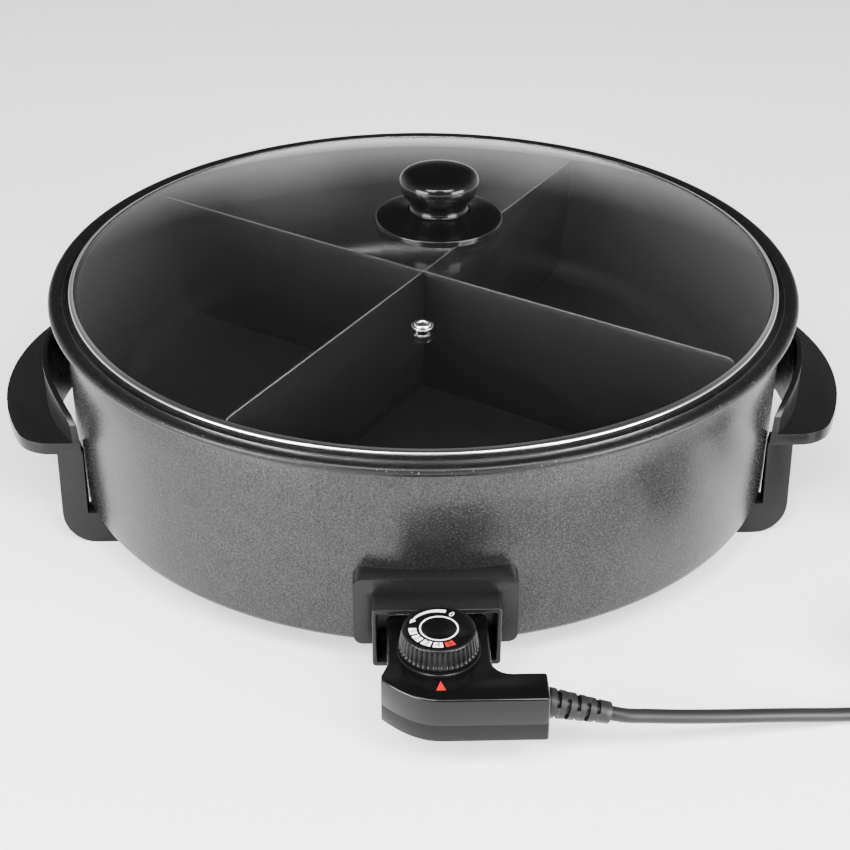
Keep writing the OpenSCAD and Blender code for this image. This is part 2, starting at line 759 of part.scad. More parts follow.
// Lower half of the case, hollow from above
module case_bottom() color("#2b2c2e") place() {
    difference() {
        translate([0, 0, case_low_z])
            linear_extrude(split_z - case_low_z)
                polygon(case_plan());
        translate([0, 0, case_low_z + case_t])
            linear_extrude(split_z - case_low_z)
                polygon(case_plan(case_t));
        for (p = case_screw_places())
            translate([p[0], p[1], case_low_z - 1])
                cylinder(r = 1.4, h = 6, $fn = 24);
        relief_bore();
    }
}

function case_screw_places() = [[-neck_w / 2 + 3.6, neck_y - 8], [neck_w / 2 - 3.6, neck_y - 8],
    [-6, case_y + 8], [arm_x - 7, case_y + 5.6]];

// Holes in the neck's end for the pins, the probe and the earth
module front_openings() {
    for (s = [-1, 1])
        along_y(s * pin_pitch / 2, neck_y - 4, pin_z, pin_r + 0.9, 6);
    along_y(0, neck_y - 4, pin_z, probe_r, 6);
    translate([-5, neck_y - 4, pin_z + 7])
        cube([10, 6, 2.8]);
}

// Hole in the arm's end for the cord
module relief_bore() {
    translate([arm_x - 6, arm_cy, pin_z])
        rotate([0, 90, 0])
            cylinder(r = 4.2, h = 8, $fn = 32);
}

module case_screws() color("#b9bbbe") place() {
    for (p = case_screw_places())
        translate([p[0], p[1], case_low_z - 0.6]) {
            cylinder(r = 2.6, h = 0.6, $fn = 32);
            cylinder(r = 1.3, h = 14, $fn = 32);
        }
}

// Probe that senses the pan's heat
module probe_tube() color("#c6c8ca") place() {
    along_y(0, neck_y - 12, pin_z, probe_r, probe_len + 12);
    translate([0, neck_y + probe_len, pin_z])
        sphere(r = probe_r, $fn = 48);
}

// Spring sleeves that grip the pins
module contact_sleeves() color("#c9a64b") place() {
    for (s = [-1, 1])
        difference() {
            along_y(s * pin_pitch / 2, neck_y - 16, pin_z, pin_r + 1.1, 16 - case_t);
            along_y(s * pin_pitch / 2, neck_y - 15, pin_z, pin_r + 0.05, 16);
        }
}

// Blade that meets the earth spring
module earth_blade() color("#c9a64b") place() {
    translate([-3, neck_y - 14, pin_z + 7])
        cube([6, 13, 0.8]);
}

// Switch under the dial
module switch_block() color("#d8d2c4") place() {
    translate([-13, dial_cy - 12, case_low_z + case_t])
        difference() {
            cube([26, 20, case_h - 2 * case_t - 4.5]);
            translate([13, 12, 2])
                cylinder(r = 3.3, h = 40, $fn = 32);
        }
}

// Two-metal strip from the probe to the switch
module bimetal_strip() color("#b08d57") place() {
    translate([-2.5, dial_cy + 8, pin_z - 0.5])
        cube([5, neck_y - 12 - dial_cy - 8, 1]);
}

// Fixed ring under the dial
module dial_collar() color("#161618") place() {
    translate([0, dial_cy, case_top_z])
        difference() {
            union() {
                cylinder(r = dial_r + 0.8, h = 1.1);
                cylinder(r = dial_r - 2, h = 2);
            }
            translate([0, 0, -1])
                cylinder(r = 4.4, h = 4, $fn = 48);
        }
}

// Red mark that the settings turn past
module pointer_mark() color("#d8202e") place() {
    translate([0, dial_cy - dial_r - 3.4, case_top_z])
        linear_extrude(0.3)
            polygon([[0, 0], [-2.2, -6.4], [2.2, -6.4]]);
}

// Saddle that grips the cord inside the arm
module cord_clamp() color("#3b3c3f") place() {
    translate([arm_x - 20, arm_cy - 4.8, case_low_z + case_t])
        difference() {
            cube([7, 9.6, case_h / 2 + 3]);
            translate([-1, 4.8, pin_z - case_low_z - case_t])
                rotate([0, 90, 0])
                    cylinder(r = cord_r, h = 9, $fn = 32);
        }
}

// ---------- dial ----------

module dial_knob() color("#121214") place() {
    z0 = case_top_z + 2.3;
    top = case_top_z + dial_h;
    ribs = 48;
    translate([0, dial_cy, 0])
        difference() {
            rotate_extrude()
                polygon([[3, z0], [dial_r, z0], [dial_r, z0 + 1.2], [dial_face_r + 1.2, top - 1.4],
                    [dial_face_r + 0.6, top], [dial_face_r - 0.8, top], [dial_face_r - 0.8, top - 0.8], [3, top - 0.8]]);
            for (i = [0:ribs - 1])
                rotate(360 * i / ribs)
                    translate([dial_r + 0.25, 0, z0 + 1.6])
                        rotate([0, -13, 0])
                            cylinder(r = 0.7, h = dial_h, $fn = 6);
        }
}

// Printed disc in the top of the dial
module dial_face() color("#18181a") place() {
    translate([0, dial_cy, case_top_z + dial_h - 0.8])
        difference() {
            cylinder(r = dial_face_r - 0.9, h = 0.6);
            translate([0, 0, -1])
                cylinder(r = 3.1, h = 1.2, $fn = 32);
        }
}

// Shaft from the dial down to the switch
module dial_shaft() color("#c4c6c8") place() {
    translate([0, dial_cy, case_low_z + case_t + 3.6])
        cylinder(r = 2.9, h = case_top_z + dial_h - 1.2 - case_low_z - case_t - 3.6, $fn = 48);
}

// ---------- cord ----------

// Ribbed, tapered sleeve where the cord leaves the arm
module strain_relief() color("#222325") place() {
    tilt = atan(relief_drop / relief_len);
    len = relief_len / cos(tilt);
    difference() {
        union() {
            translate([arm_x - 20, arm_cy, pin_z])
                rotate([0, 90, 0])
                    cylinder(r = cord_r, h = 21, $fn = 48);
            difference() {
                translate([arm_x, arm_cy, pin_z])
                    rotate([0, 90 + tilt, 0]) {
                        for (i = [0:5])
                            translate([0, 0, i * (len - 1) / 6])
                                cylinder(r1 = 7.2 - 0.34 * i, r2 = 6.9 - 0.34 * i, h = 3.2, $fn = 48);
                        cylinder(r1 = 5.6, r2 = 4.6, h = len, $fn = 48);
                    }
                translate([arm_x - 10, arm_cy - 10, pin_z - 10])
                    cube([10, 20, 20]);
            }
        }
        translate([arm_x, arm_cy, pin_z])
            rotate([0, 90 + tilt, 0])
                translate([0, 0, len - 8])
                    cylinder(r = cord_r, h = 10, $fn = 48);
    }
}

// Cord from the strain relief to the coil
module cord_run() color("#1a1a1b") tube(smooth(CORD_ROUTE, 2), cord_r, 10);

// Outer shape of the wound cord
module cord_coil() color("#1a1a1b") {
    translate([coil_x, coil_y, 0])
        rotate_extrude($fn = 72)
            polygon(round_rect(coil_turn_r - coil_half, 0, coil_turn_r + coil_half, coil_high, 3));
}

// Cord from the coil to the plug
module cord_tail() color("#1a1a1b") tube(smooth(TAIL_ROUTE, 2), cord_r, 10);

// Tie round the coil's turns
module coil_tie() color("#2a2a2c") {
    w = 8;
    t = 0.8;
    translate([coil_x - coil_turn_r, coil_y, 0])
        slab_y_ring(coil_half, coil_high, t, w);
}
module slab_y_ring(half, high, t, w) {
    difference() {
        translate([-half - t, -w / 2, 0])
            cube([2 * half + 2 * t, w, high + t]);
        translate([-half, -w / 2 - 1, t])
            cube([2 * half, w + 2, high - t]);
    }
}

// Moulded plug, lying on its side
module plug_body() color("#1c1c1e") {
    translate([plug_x, plug_y, plug_z])
        rotate([-90, 0, 0])
            difference() {
                union() {
                    rotate_extrude()
                        polygon(concat([[0, -14], [5, -14], [6.6, 0], [8.5, 4], [15, 8]],
                            arc(plug_r - 2, 12, 2, 90, 0, 3), [[plug_r, 38], [plug_r - 1, 39], [0, 39]]));
                }
                translate([0, 0, -15])
                    cylinder(r = cord_r, h = 15, $fn = 32);
            }
}

// Round mains pins
module plug_pins() color("#d0d2d4") {
    for (s = [-1, 1])
        along_y(plug_x + s * pin_gap / 2, plug_y + 39, plug_z, plug_pin_r, plug_pin_len);
}

inner_pan();
outer_jacket();
base_plate();
base_screws();
heating_element();
element_straps();
terminal_bracket();
terminal_pins();
pin_insulators();
earth_spring();
probe_guide();
thermal_fuse();
socket_housing();
socket_sleeve();
socket_screws();
handle_left();
handle_right();
handle_screws();
lid_glass();
lid_band();
knob_base();
knob_grip();
knob_screw();
knob_washer();
steam_vent();
divider_long();
divider_short();
case_top();
case_bottom();
case_screws();
probe_tube();
contact_sleeves();
earth_blade();
switch_block();
bimetal_strip();
dial_collar();
pointer_mark();
cord_clamp();
dial_knob();
dial_face();
dial_shaft();
strain_relief();
cord_run();
cord_coil();
cord_tail();
coil_tie();
plug_body();
plug_pins();
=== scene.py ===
"""Electric pan with a domed glass lid, a crossed divider and a plug-in thermostat.

Every piece is built in metres, in the frame of the CAD model that it stands on.
"""

import logging
import math
from collections.abc import Callable, Iterable, Sequence
from dataclasses import dataclass, field
from enum import Enum
from typing import Any, ClassVar

import bmesh
import bpy
from mathutils import Matrix, Vector


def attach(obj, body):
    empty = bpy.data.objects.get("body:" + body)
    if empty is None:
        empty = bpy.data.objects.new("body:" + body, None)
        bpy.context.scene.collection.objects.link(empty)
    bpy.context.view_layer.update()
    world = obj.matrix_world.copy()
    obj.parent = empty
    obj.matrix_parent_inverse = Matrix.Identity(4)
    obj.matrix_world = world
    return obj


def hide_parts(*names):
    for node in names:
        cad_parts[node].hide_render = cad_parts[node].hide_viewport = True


LOG = logging.getLogger("electric_pan")
# One millimetre in metres
MM = 0.001
# The pan's axis, behind the frame's middle because the control sticks out in front
AXIS_Y = 35.5
# The dial's axis
DIAL_AT = (0.0, -245.0 + AXIS_Y)
# Where the strain relief leaves the case, and how far it reaches sideways and down
RELIEF_ROOT = (49.5, -269.0 + AXIS_Y, 37.2)
RELIEF_REACH, RELIEF_DROP = 29.0, 7.0
Point = tuple[float, float, float]
Profile = list[tuple[float, float]]


class Body(Enum):
    """The rigid bodies that pieces ride on."""

    BASE = "base"
    DIVIDER = "divider"
    LID = "lid"
    CONTROL = "control"
    DIAL = "dial"


# ---------------------------------------------------------------- shader expressions


class Signal:
    """A shader value that takes part in Python expressions."""

    def __init__(self, tree: bpy.types.NodeTree, socket: Any) -> None:
        """Wraps an output socket.

        Args:
            tree: the node tree.
            socket: one of its output sockets.
        """
        self.tree = tree
        self.socket = socket

    def _math(self, operation: str, *values: Any, clamp: bool = False) -> "Signal":
        """Adds a Math node.

        Args:
            operation: the node's operation.
            values: signals or numbers for its inputs.
            clamp: whether the result is held between 0 and 1.

        Returns:
            The node's result.
        """
        node = self.tree.nodes.new("ShaderNodeMath")
        node.operation = operation
        node.use_clamp = clamp
        for index, value in enumerate(values):
            if isinstance(value, Signal):
                self.tree.links.new(value.socket, node.inputs[index])
            else:
                node.inputs[index].default_value = float(value)
        return Signal(self.tree, node.outputs[0])

    def __add__(self, other: Any) -> "Signal":
        """Sum."""
        return self._math("ADD", self, other)

    __radd__ = __add__

    def __mul__(self, other: Any) -> "Signal":
        """Product."""
        return self._math("MULTIPLY", self, other)

    __rmul__ = __mul__

    def __sub__(self, other: Any) -> "Signal":
        """Difference."""
        return self._math("SUBTRACT", self, other)

    def __rsub__(self, other: Any) -> "Signal":
        """Difference, reflected."""
        return self._math("SUBTRACT", other, self)

    def clamp(self) -> "Signal":
        """Value held between 0 and 1."""
        return self._math("ADD", self, 0.0, clamp=True)

    def above(self, edge: float, width: float) -> "Signal":
        """Soft step that rises round an edge.

        Args:
            edge: value at which the step is half way up.
            width: value over which it rises.

        Returns:
            A value from 0 to 1.
        """
        return self._math("ADD", (self - (edge - width / 2)) * (1.0 / width), 0.0, clamp=True)


class Recipe:
    """A material's node tree, with one method for every kind of node."""

    def __init__(self, name: str) -> None:
        """Starts a material with one Principled shader.

        Args:
            name: the material's name.
        """
        self.material = bpy.data.materials.new(name)
        self.material.use_nodes = True
        self.tree = self.material.node_tree
        self.tree.nodes.clear()
        self.output = self.tree.nodes.new("ShaderNodeOutputMaterial")
        self.shader = self.tree.nodes.new("ShaderNodeBsdfPrincipled")
        self.tree.links.new(self.shader.outputs[0], self.output.inputs["Surface"])

    def node(self, kind: str, settings: dict[str, Any] | None = None,
             inputs: dict[Any, Any] | None = None, output: Any = 0) -> Signal:
        """Adds a node.

        Args:
            kind: node type after "ShaderNode".
            settings: attributes set before the sockets.
            inputs: values or links by socket name or number.
            output: the socket that is returned.

        Returns:
            The chosen output as a signal.
        """
        node = self.tree.nodes.new("ShaderNode" + kind)
        for key, value in (settings or {}).items():
            setattr(node, key, value)
        for key, value in (inputs or {}).items():
            if isinstance(value, Signal):
                self.tree.links.new(value.socket, node.inputs[key])
            else:
                node.inputs[key].default_value = value
        return Signal(self.tree, node.outputs[output])

    def place(self) -> Signal:
        """Position on the piece, in metres."""
        return self.node("TexCoord", output="Object")

    def noise(self, scale: float, detail: float = 2.0, roughness: float = 0.5) -> Signal:
        """Fractal noise over the piece, from 0 to 1."""
        return self.node("TexNoise", {}, {"Vector": self.place(), "Scale": scale,
                                          "Detail": detail, "Roughness": roughness})

    def cells(self, scale: float, feature: str = "F1") -> Signal:
        """Distance to the nearest of a field of scattered points."""
        return self.node("TexVoronoi", {"feature": feature}, {"Vector": self.place(), "Scale": scale})

    def upward(self) -> Signal:
        """Height part of the surface's direction."""
        normal = self.node("NewGeometry", output="Normal")
        return self.node("SeparateXYZ", {}, {0: normal}, output=2)

    def mix(self, factor: Any, low: Sequence[float], high: Sequence[float]) -> Signal:
        """Blends two colours.

        Args:
            factor: share of the second colour.
            low: first colour, or a colour signal.
            high: second colour, or a colour signal.

        Returns:
            The blended colour.
        """
        def colour(value: Any) -> Any:
            """A colour with its fourth part, or the signal itself."""
            return value if isinstance(value, Signal) else (*value, 1.0)
        return self.node("Mix", {"data_type": "RGBA"}, {0: factor, 6: colour(low), 7: colour(high)},
                         output=2)

    def bump(self, height: Signal, strength: float, distance: float) -> Signal:
        """Surface direction disturbed by a height field."""
        return self.node("Bump", {}, {"Height": height, "Strength": strength, "Distance": distance})

    def set(self, **sockets: Any) -> "Recipe":
        """Fills the shader's sockets.

        Args:
            sockets: values or signals by socket name; underscores stand for blanks.

        Returns:
            This recipe.
        """
        for key, value in sockets.items():
            socket = self.shader.inputs[key.replace("_", " ")]
            if isinstance(value, Signal):
                self.tree.links.new(value.socket, socket)
            elif socket.type == "RGBA":
                socket.default_value = (*value, 1.0)
            else:
                socket.default_value = value
        return self


# ---------------------------------------------------------------- finishes


@dataclass(frozen=True)
class HammeredPaint:
    """Grey paint that dries in small dimples."""

    name: str = "hammered_paint"
    dark: Point = (0.011, 0.0112, 0.0114)
    light: Point = (0.054, 0.0545, 0.0552)
    grain: float = 1050.0

    def make(self) -> bpy.types.Material:
        """Builds the material.

        Returns:
            The new material.
        """
        r = Recipe(self.name)
        fine = r.noise(self.grain, 2.0, 0.6)
        coarse = r.noise(90.0, 3.0, 0.55)
        dimples = r.cells(self.grain * 0.75, "SMOOTH_F1")
        tone = (fine.above(0.5, 0.42) * 0.68 + coarse * 0.2).clamp()
        r.set(Base_Color=r.mix(tone, self.dark, self.light), Metallic=0.85,
              Roughness=0.2 + fine * 0.12, Normal=r.bump(dimples * 0.7 + fine * 0.5, 0.14, 0.0005),
              Specular_IOR_Level=0.5)
        return r.material


@dataclass(frozen=True)
class SpeckledCoating:
    """Dark non-stick coating with fine light specks."""

    name: str = "speckled_coating"
    base: Point = (0.0035, 0.0035, 0.0037)
    speck: Point = (0.1, 0.1, 0.104)
    amount: float = 0.72
    roughness: float = 0.34
    grain: float = 1100.0
    # Share of grey mixed into faces that point up: a painted highlight on the tops
    edge: float = 0.0
    shine: float = 0.18

    def make(self) -> bpy.types.Material:
        """Builds the material.

        Returns:
            The new material.
        """
        r = Recipe(self.name)
        fine = r.noise(self.grain, 1.0, 0.5)
        cloud = r.noise(35.0, 3.0, 0.5)
        specks = fine.above(self.amount, 0.07)
        # Painted highlight: faces that point up are lightened towards grey
        painted_top_highlight = r.upward().above(0.75, 0.3) * self.edge
        r.set(Base_Color=r.mix(painted_top_highlight, r.mix(specks * 0.8, self.base, self.speck), (0.5, 0.5, 0.5)),
              Roughness=(self.roughness + cloud * 0.12 - 0.06),
              Normal=r.bump(fine, 0.22, 0.0003), Specular_IOR_Level=self.shine)
        return r.material


@dataclass(frozen=True)
class MouldedPlastic:
    """Moulded plastic with a fine spark-eroded grain, paler random clouds and painted light on the tops."""

    name: str
    base: Point
    roughness: float
    grain: float = 1500.0
    depth: float = 0.12
    top_light_and_cloud_share: float = 0.02
    shine: float = 0.19

    def make(self) -> bpy.types.Material:
        """Builds the material.

        Returns:
            The new material.
        """
        r = Recipe(self.name)
        fine = r.noise(self.grain, 2.0, 0.6)
        cloud = r.noise(28.0, 3.0, 0.5)
        # Painted light: faces that point up are lightened, along with paler random clouds
        painted_top_light_and_clouds = (r.upward().above(0.7, 0.5) * self.top_light_and_cloud_share + cloud * self.top_light_and_cloud_share * 0.5).clamp()
        light = tuple(min(1.0, c + 0.35) for c in self.base)
        r.set(Base_Color=r.mix(painted_top_light_and_clouds, self.base, light), Roughness=self.roughness + cloud * 0.1 - 0.05,
              Normal=r.bump(fine, self.depth, 0.0002), Specular_IOR_Level=self.shine)
        return r.material


@dataclass(frozen=True)
class BareMetal:
    """Plated, polished or brushed metal."""

    name: str
    base: Point
    roughness: float
    stretch: Point = (300.0, 300.0, 2600.0)
    depth: float = 0.08
    tarnish: float = 0.12

    def make(self) -> bpy.types.Material:
        """Builds the material.

        Returns:
            The new material.
        """
        r = Recipe(self.name)
        lines = r.node("Mapping", {}, {"Vector": r.place(), "Scale": self.stretch})
        brush = r.node("TexNoise", {}, {"Vector": lines, "Scale": 1.0, "Detail": 2.0})
        cloud = r.noise(60.0, 3.0, 0.6)
        dull = tuple(c * 0.72 for c in self.base)
        r.set(Base_Color=r.mix((cloud.above(0.55, 0.4) * self.tarnish).clamp(), self.base, dull),
              Metallic=1.0, Roughness=self.roughness + brush * 0.08 + cloud * 0.05,
              Normal=r.bump(brush, self.depth, 0.0001))
        return r.material


@dataclass(frozen=True)
class ClearGlass:
    """Tempered glass with a trace of handling marks; lamps shine through it."""

    name: str = "clear_glass"
    tint: Point = (0.95, 0.954, 0.953)

    def make(self) -> bpy.types.Material:
        """Builds the material.

        Returns:
            The new material.
        """
        r = Recipe(self.name)
        marks = r.noise(14.0, 4.0, 0.6)
        r.set(Base_Color=self.tint, Transmission_Weight=1.0, IOR=1.5,
              Roughness=0.012 + marks.above(0.6, 0.3) * 0.02)
        clear = r.node("BsdfTransparent", {}, {"Color": (*self.tint, 1.0)})
        lamp = r.node("LightPath", output="Is Shadow Ray")
        mixed = r.node("MixShader", {}, {0: lamp, 1: Signal(r.tree, r.shader.outputs[0]), 2: clear})
        r.tree.links.new(mixed.socket, r.output.inputs["Surface"])
        return r.material


@dataclass(frozen=True)
class Print:
    """Printed ink, slightly uneven."""

    name: str
    base: Point
    roughness: float = 0.4

    def make(self) -> bpy.types.Material:
        """Builds the material.

        Returns:
            The new material.
        """
        r = Recipe(self.name)
        cloud = r.noise(900.0, 2.0, 0.6)
        dim = tuple(c * 0.86 for c in self.base)
        r.set(Base_Color=r.mix(cloud, dim, self.base), Roughness=self.roughness + cloud * 0.1,
              Normal=r.bump(cloud, 0.05, 0.0001))
        return r.material


class Paintbox:
    """Every finish, made once and handed out by name."""

    def __init__(self) -> None:
        """Makes the finishes."""
        self.finishes: dict[str, bpy.types.Material] = {f.name: f.make() for f in (
            HammeredPaint(), SpeckledCoating(),
            # Darker, nearly speckless copy of the speckled coating for the well: painted shade inside the
            # covered pan
            SpeckledCoating("well_coating_painted_shade", base=(0.0025, 0.0025, 0.0027), speck=(0.012, 0.012, 0.012),
                            amount=0.72, roughness=0.32, grain=900.0, shine=0.26),
            # Divider copy: the same darker painted shade, with its tops lightened as a painted highlight
            SpeckledCoating("divider_coating_painted_shade_and_top_light", base=(0.0025, 0.0025, 0.0027), speck=(0.012, 0.012, 0.012),
                            amount=0.74, roughness=0.38, grain=900.0, edge=0.1, shine=0.2),
            MouldedPlastic("black_phenolic", (0.004, 0.004, 0.0043), 0.28, 1300.0, 0.1, 0.002),
            MouldedPlastic("gloss_black", (0.002, 0.002, 0.0022), 0.17, 1500.0, 0.01, 0.0, 0.2),
            MouldedPlastic("case_grey", (0.004, 0.004, 0.0044), 0.14, 1200.0, 0.02, 0.002, 0.12),
            MouldedPlastic("dial_black", (0.003, 0.003, 0.0033), 0.24, 1400.0, 0.04, 0.002, 0.14),
            MouldedPlastic("cord_rubber", (0.007, 0.007, 0.0075), 0.4, 900.0, 0.14, 0.006),
            MouldedPlastic("washer_rubber", (0.03, 0.03, 0.03), 0.6, 900.0, 0.2, 0.01),
            MouldedPlastic("ceramic", (0.72, 0.69, 0.61), 0.55, 1800.0, 0.2, 0.02),
            MouldedPlastic("switch_plastic", (0.6, 0.56, 0.47), 0.4, 1300.0, 0.1, 0.02),
            BareMetal("plated_steel", (0.55, 0.55, 0.56), 0.28),
            BareMetal("bright_steel", (0.78, 0.78, 0.79), 0.12, (300.0, 300.0, 2600.0), 0.03, 0.05),
            BareMetal("element_sheath", (0.26, 0.22, 0.19), 0.45, (500.0, 500.0, 500.0), 0.2, 0.6),
            BareMetal("brass_contact", (0.72, 0.53, 0.22), 0.3),
            ClearGlass(), Print("red_ink", (0.36, 0.002, 0.004)), Print("white_ink", (0.82, 0.82, 0.8)),
            Print("black_ink", (0.01, 0.01, 0.01)))}

    def __getitem__(self, name: str) -> bpy.types.Material:
        """The finish of that name."""
        return self.finishes[name]


# ---------------------------------------------------------------- mesh workshop


def arc(x: float, y: float, r: float, a0: float, a1: float, n: int = 8) -> Profile:
    """Points of an arc.

    Args:
        x: centre, first coordinate.
        y: centre, second coordinate.
        r: radius.
        a0: first angle in degrees.
        a1: last angle in degrees.
        n: number of steps.

    Returns:
        The points in order.
    """
    return [(x + r * math.cos(math.radians(a0 + (a1 - a0) * i / n)),
             y + r * math.sin(math.radians(a0 + (a1 - a0) * i / n))) for i in range(n + 1)]


def smooth_path(points: Sequence[Point], steps: int) -> list[Vector]:
    """Draws a Catmull-Rom curve through points.

    Args:
        points: the points in order.
        steps: number of steps from each point to the next.

    Returns:
        The curve's points.
    """
    p = [Vector(q) for q in points]
    last = len(p) - 1
    out: list[Vector] = []
    for i in range(last):
        a, b, c, d = p[max(i - 1, 0)], p[i], p[i + 1], p[min(i + 2, last)]
        for s in range(steps):
            t = s / steps
            out.append(0.5 * (2 * b + (c - a) * t + (2 * a - 5 * b + 4 * c - d) * t * t
                              + (3 * b - a - 3 * c + d) * t * t * t))
    return out + [p[last]]


def show(name: str, data: bpy.types.ID) -> bpy.types.Object:
    """Puts a new object in the scene.

    Args:
        name: the object's name.
        data: its mesh, curve, camera or light.

    Returns:
        The new object.
    """
    obj = bpy.data.objects.new(name, data)
    bpy.context.scene.collection.objects.link(obj)
    return obj


def cast(name: str, bm: bmesh.types.BMesh) -> bpy.types.Object:
    """Turns a bmesh into an object and frees the bmesh.

    Args:
        name: the object's name.
        bm: the bmesh, in metres.

    Returns:
        The new object.
    """
    data = bpy.data.meshes.new(name)
    bm.to_mesh(data)
    bm.free()
    return show(name, data)


@dataclass
class Workshop:
    """Makes objects and fits each to its body, its finish and the CAD nodes it stands for."""

    paint: Paintbox

    def fit(self, obj: bpy.types.Object, body: Body, finish: str, slot: str,
            nodes: Iterable[str] = (), smooth: float = 35.0) -> bpy.types.Object:
        """Dresses a piece and hangs it on its body.

        Args:
            obj: the piece.
            body: the body it rides on.
            finish: name of its finish.
            slot: the record's material slot; not used.
            nodes: CAD nodes it replaces.
            smooth: largest angle in degrees that is shaded smooth.

        Returns:
            The same piece.
        """
        if not obj.data.materials:
            obj.data.materials.append(self.paint[finish])
        if obj.type == "MESH":
            for polygon in obj.data.polygons:
                polygon.use_smooth = True
            obj.data.set_sharp_from_angle(angle=math.radians(smooth))
        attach(obj, body.value)
        if nodes:
            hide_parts(*nodes)
        LOG.info("%s on %s, %s", obj.name, body.value, finish)
        return obj

    def mesh(self, name: str, bm: bmesh.types.BMesh) -> bpy.types.Object:
        """Turns a bmesh in millimetres into an object in metres.

        Args:
            name: the piece's name.
            bm: the bmesh, which is freed.

        Returns:
            The new object.
        """
        bmesh.ops.recalc_face_normals(bm, faces=bm.faces)
        bmesh.ops.scale(bm, vec=(MM, MM, MM), verts=bm.verts)
        return cast(name, bm)

    def lathe(self, name: str, profile: Profile, centre: tuple[float, float] = (0.0, 0.0),
              steps: int = 192, wobble: Callable[[int, float], float] | None = None,
              loop: bool = True) -> bpy.types.Object:
        """Spins a profile round the vertical.

        Args:
            name: the piece's name.
            profile: radius and height pairs, in order round the section.
            centre: the axis, in millimetres.
            steps: number of sides.
            wobble: change of radius by profile index and angle.
            loop: whether the section closes on itself away from the axis.

        Returns:
            The new object.
        """
        bm = bmesh.new()
        rings: list[list[bmesh.types.BMVert]] = []
        for index, (radius, height) in enumerate(profile):
            if radius < 1e-6:
                rings.append([bm.verts.new((centre[0], centre[1], height))])
                continue
            ring = []
            for k in range(steps):
                a = 2 * math.pi * k / steps
                r = radius + (wobble(index, a) if wobble else 0.0)
                place = (centre[0] + r * math.cos(a), centre[1] + r * math.sin(a), height)
                ring.append(bm.verts.new(place))
            rings.append(ring)
        pairs = list(zip(rings, rings[1:]))
        if loop and len(rings[0]) > 1 and len(rings[-1]) > 1:
            pairs.append((rings[-1], rings[0]))
        for low, high in pairs:
            for k in range(steps):
                j = (k + 1) % steps
                if len(low) == 1 and len(high) == 1:
                    break
                if len(low) == 1:
                    bm.faces.new((low[0], high[j], high[k]))
                elif len(high) == 1:
                    bm.faces.new((low[k], low[j], high[0]))
                else:
                    bm.faces.new((low[k], low[j], high[j], high[k]))
        return self.mesh(name, bm)

    def prism(self, name: str, outline: Profile, z0: float, z1: float) -> bpy.types.Object:
        """Stands an outline up between two heights.

        Args:
            name: the piece's name.
            outline: its corners in order.
            z0: the lower height.
            z1: the upper height.

        Returns:
            The new object.
        """
        bm = bmesh.new()
        low = [bm.verts.new((x, y, z0)) for x, y in outline]
        high = [bm.verts.new((x, y, z1)) for x, y in outline]
        bm.faces.new(low[::-1])
        bm.faces.new(high)
        for i in range(len(outline)):
            j = (i + 1) % len(outline)
            bm.faces.new((low[i], low[j], high[j], high[i]))
        return self.mesh(name, bm)

    def softened(self, name: str, node: str, width: float, segments: int = 3,
                 angle: float = 28.0, crown: float = 0.0) -> bpy.types.Object:
        """Copy of a CAD node with every edge rounded.

        Args:
            name: the new piece's name.
            node: CAD node that is copied.
            width: size of the rounding in millimetres.
            segments: steps in the rounding.
            angle: smallest angle in degrees that is rounded.
            crown: size of a wider rounding round the top's outline, in millimetres.

        Returns:
            The new object.
        """
        bm = bmesh.new()
        bm.from_mesh(bpy.data.objects[node].data)
        bmesh.ops.remove_doubles(bm, verts=bm.verts, dist=2e-5)
        bmesh.ops.dissolve_limit(bm, angle_limit=math.radians(1.0), verts=bm.verts, edges=bm.edges,
                                 delimit={"NORMAL"})
        if crown:
            top = max(v.co.z for v in bm.verts) - 2e-5
            rim = [e for e in bm.edges if e.is_manifold and min(v.co.z for v in e.verts) > top
                   and e.calc_face_angle(0.0) > math.radians(60.0)
                   and (e.verts[0].co.xy - Vector(DIAL_AT) * MM).length > 6.0 * MM]
            bmesh.ops.bevel(bm, geom=rim, offset=crown * MM, offset_type="OFFSET", segments=6, profile=0.5,
                            affect="EDGES", clamp_overlap=True)
        obj = cast(name, bm)
        bevel = obj.modifiers.new("edges", "BEVEL")
        bevel.width = width * MM
        bevel.segments = segments
        bevel.limit_method = "ANGLE"
        bevel.angle_limit = math.radians(angle)
        bevel.use_clamp_overlap = True
        bevel.harden_normals = False
        return self.settle(obj)

    def settle(self, obj: bpy.types.Object) -> bpy.types.Object:
        """Applies every modifier to the mesh.

        Args:
            obj: the piece.

        Returns:
            The same piece.
        """
        bpy.context.view_layer.update()
        graph = bpy.context.evaluated_depsgraph_get()
        data = bpy.data.meshes.new_from_object(obj.evaluated_get(graph))
        obj.modifiers.clear()
        obj.data = data
        return obj

    def carve(self, obj: bpy.types.Object, tool: bpy.types.Object) -> bpy.types.Object:
        """Cuts one closed piece out of another.

        Args:
            obj: the piece that is cut.
            tool: the piece that is cut away, and discarded.

        Returns:
            The cut piece.
        """
        cut = obj.modifiers.new("cut", "BOOLEAN")
        cut.operation = "DIFFERENCE"
        cut.object = tool
        cut.solver = "EXACT"
        self.settle(obj)
        bpy.data.objects.remove(tool)
        return obj


# ---------------------------------------------------------------- the pan


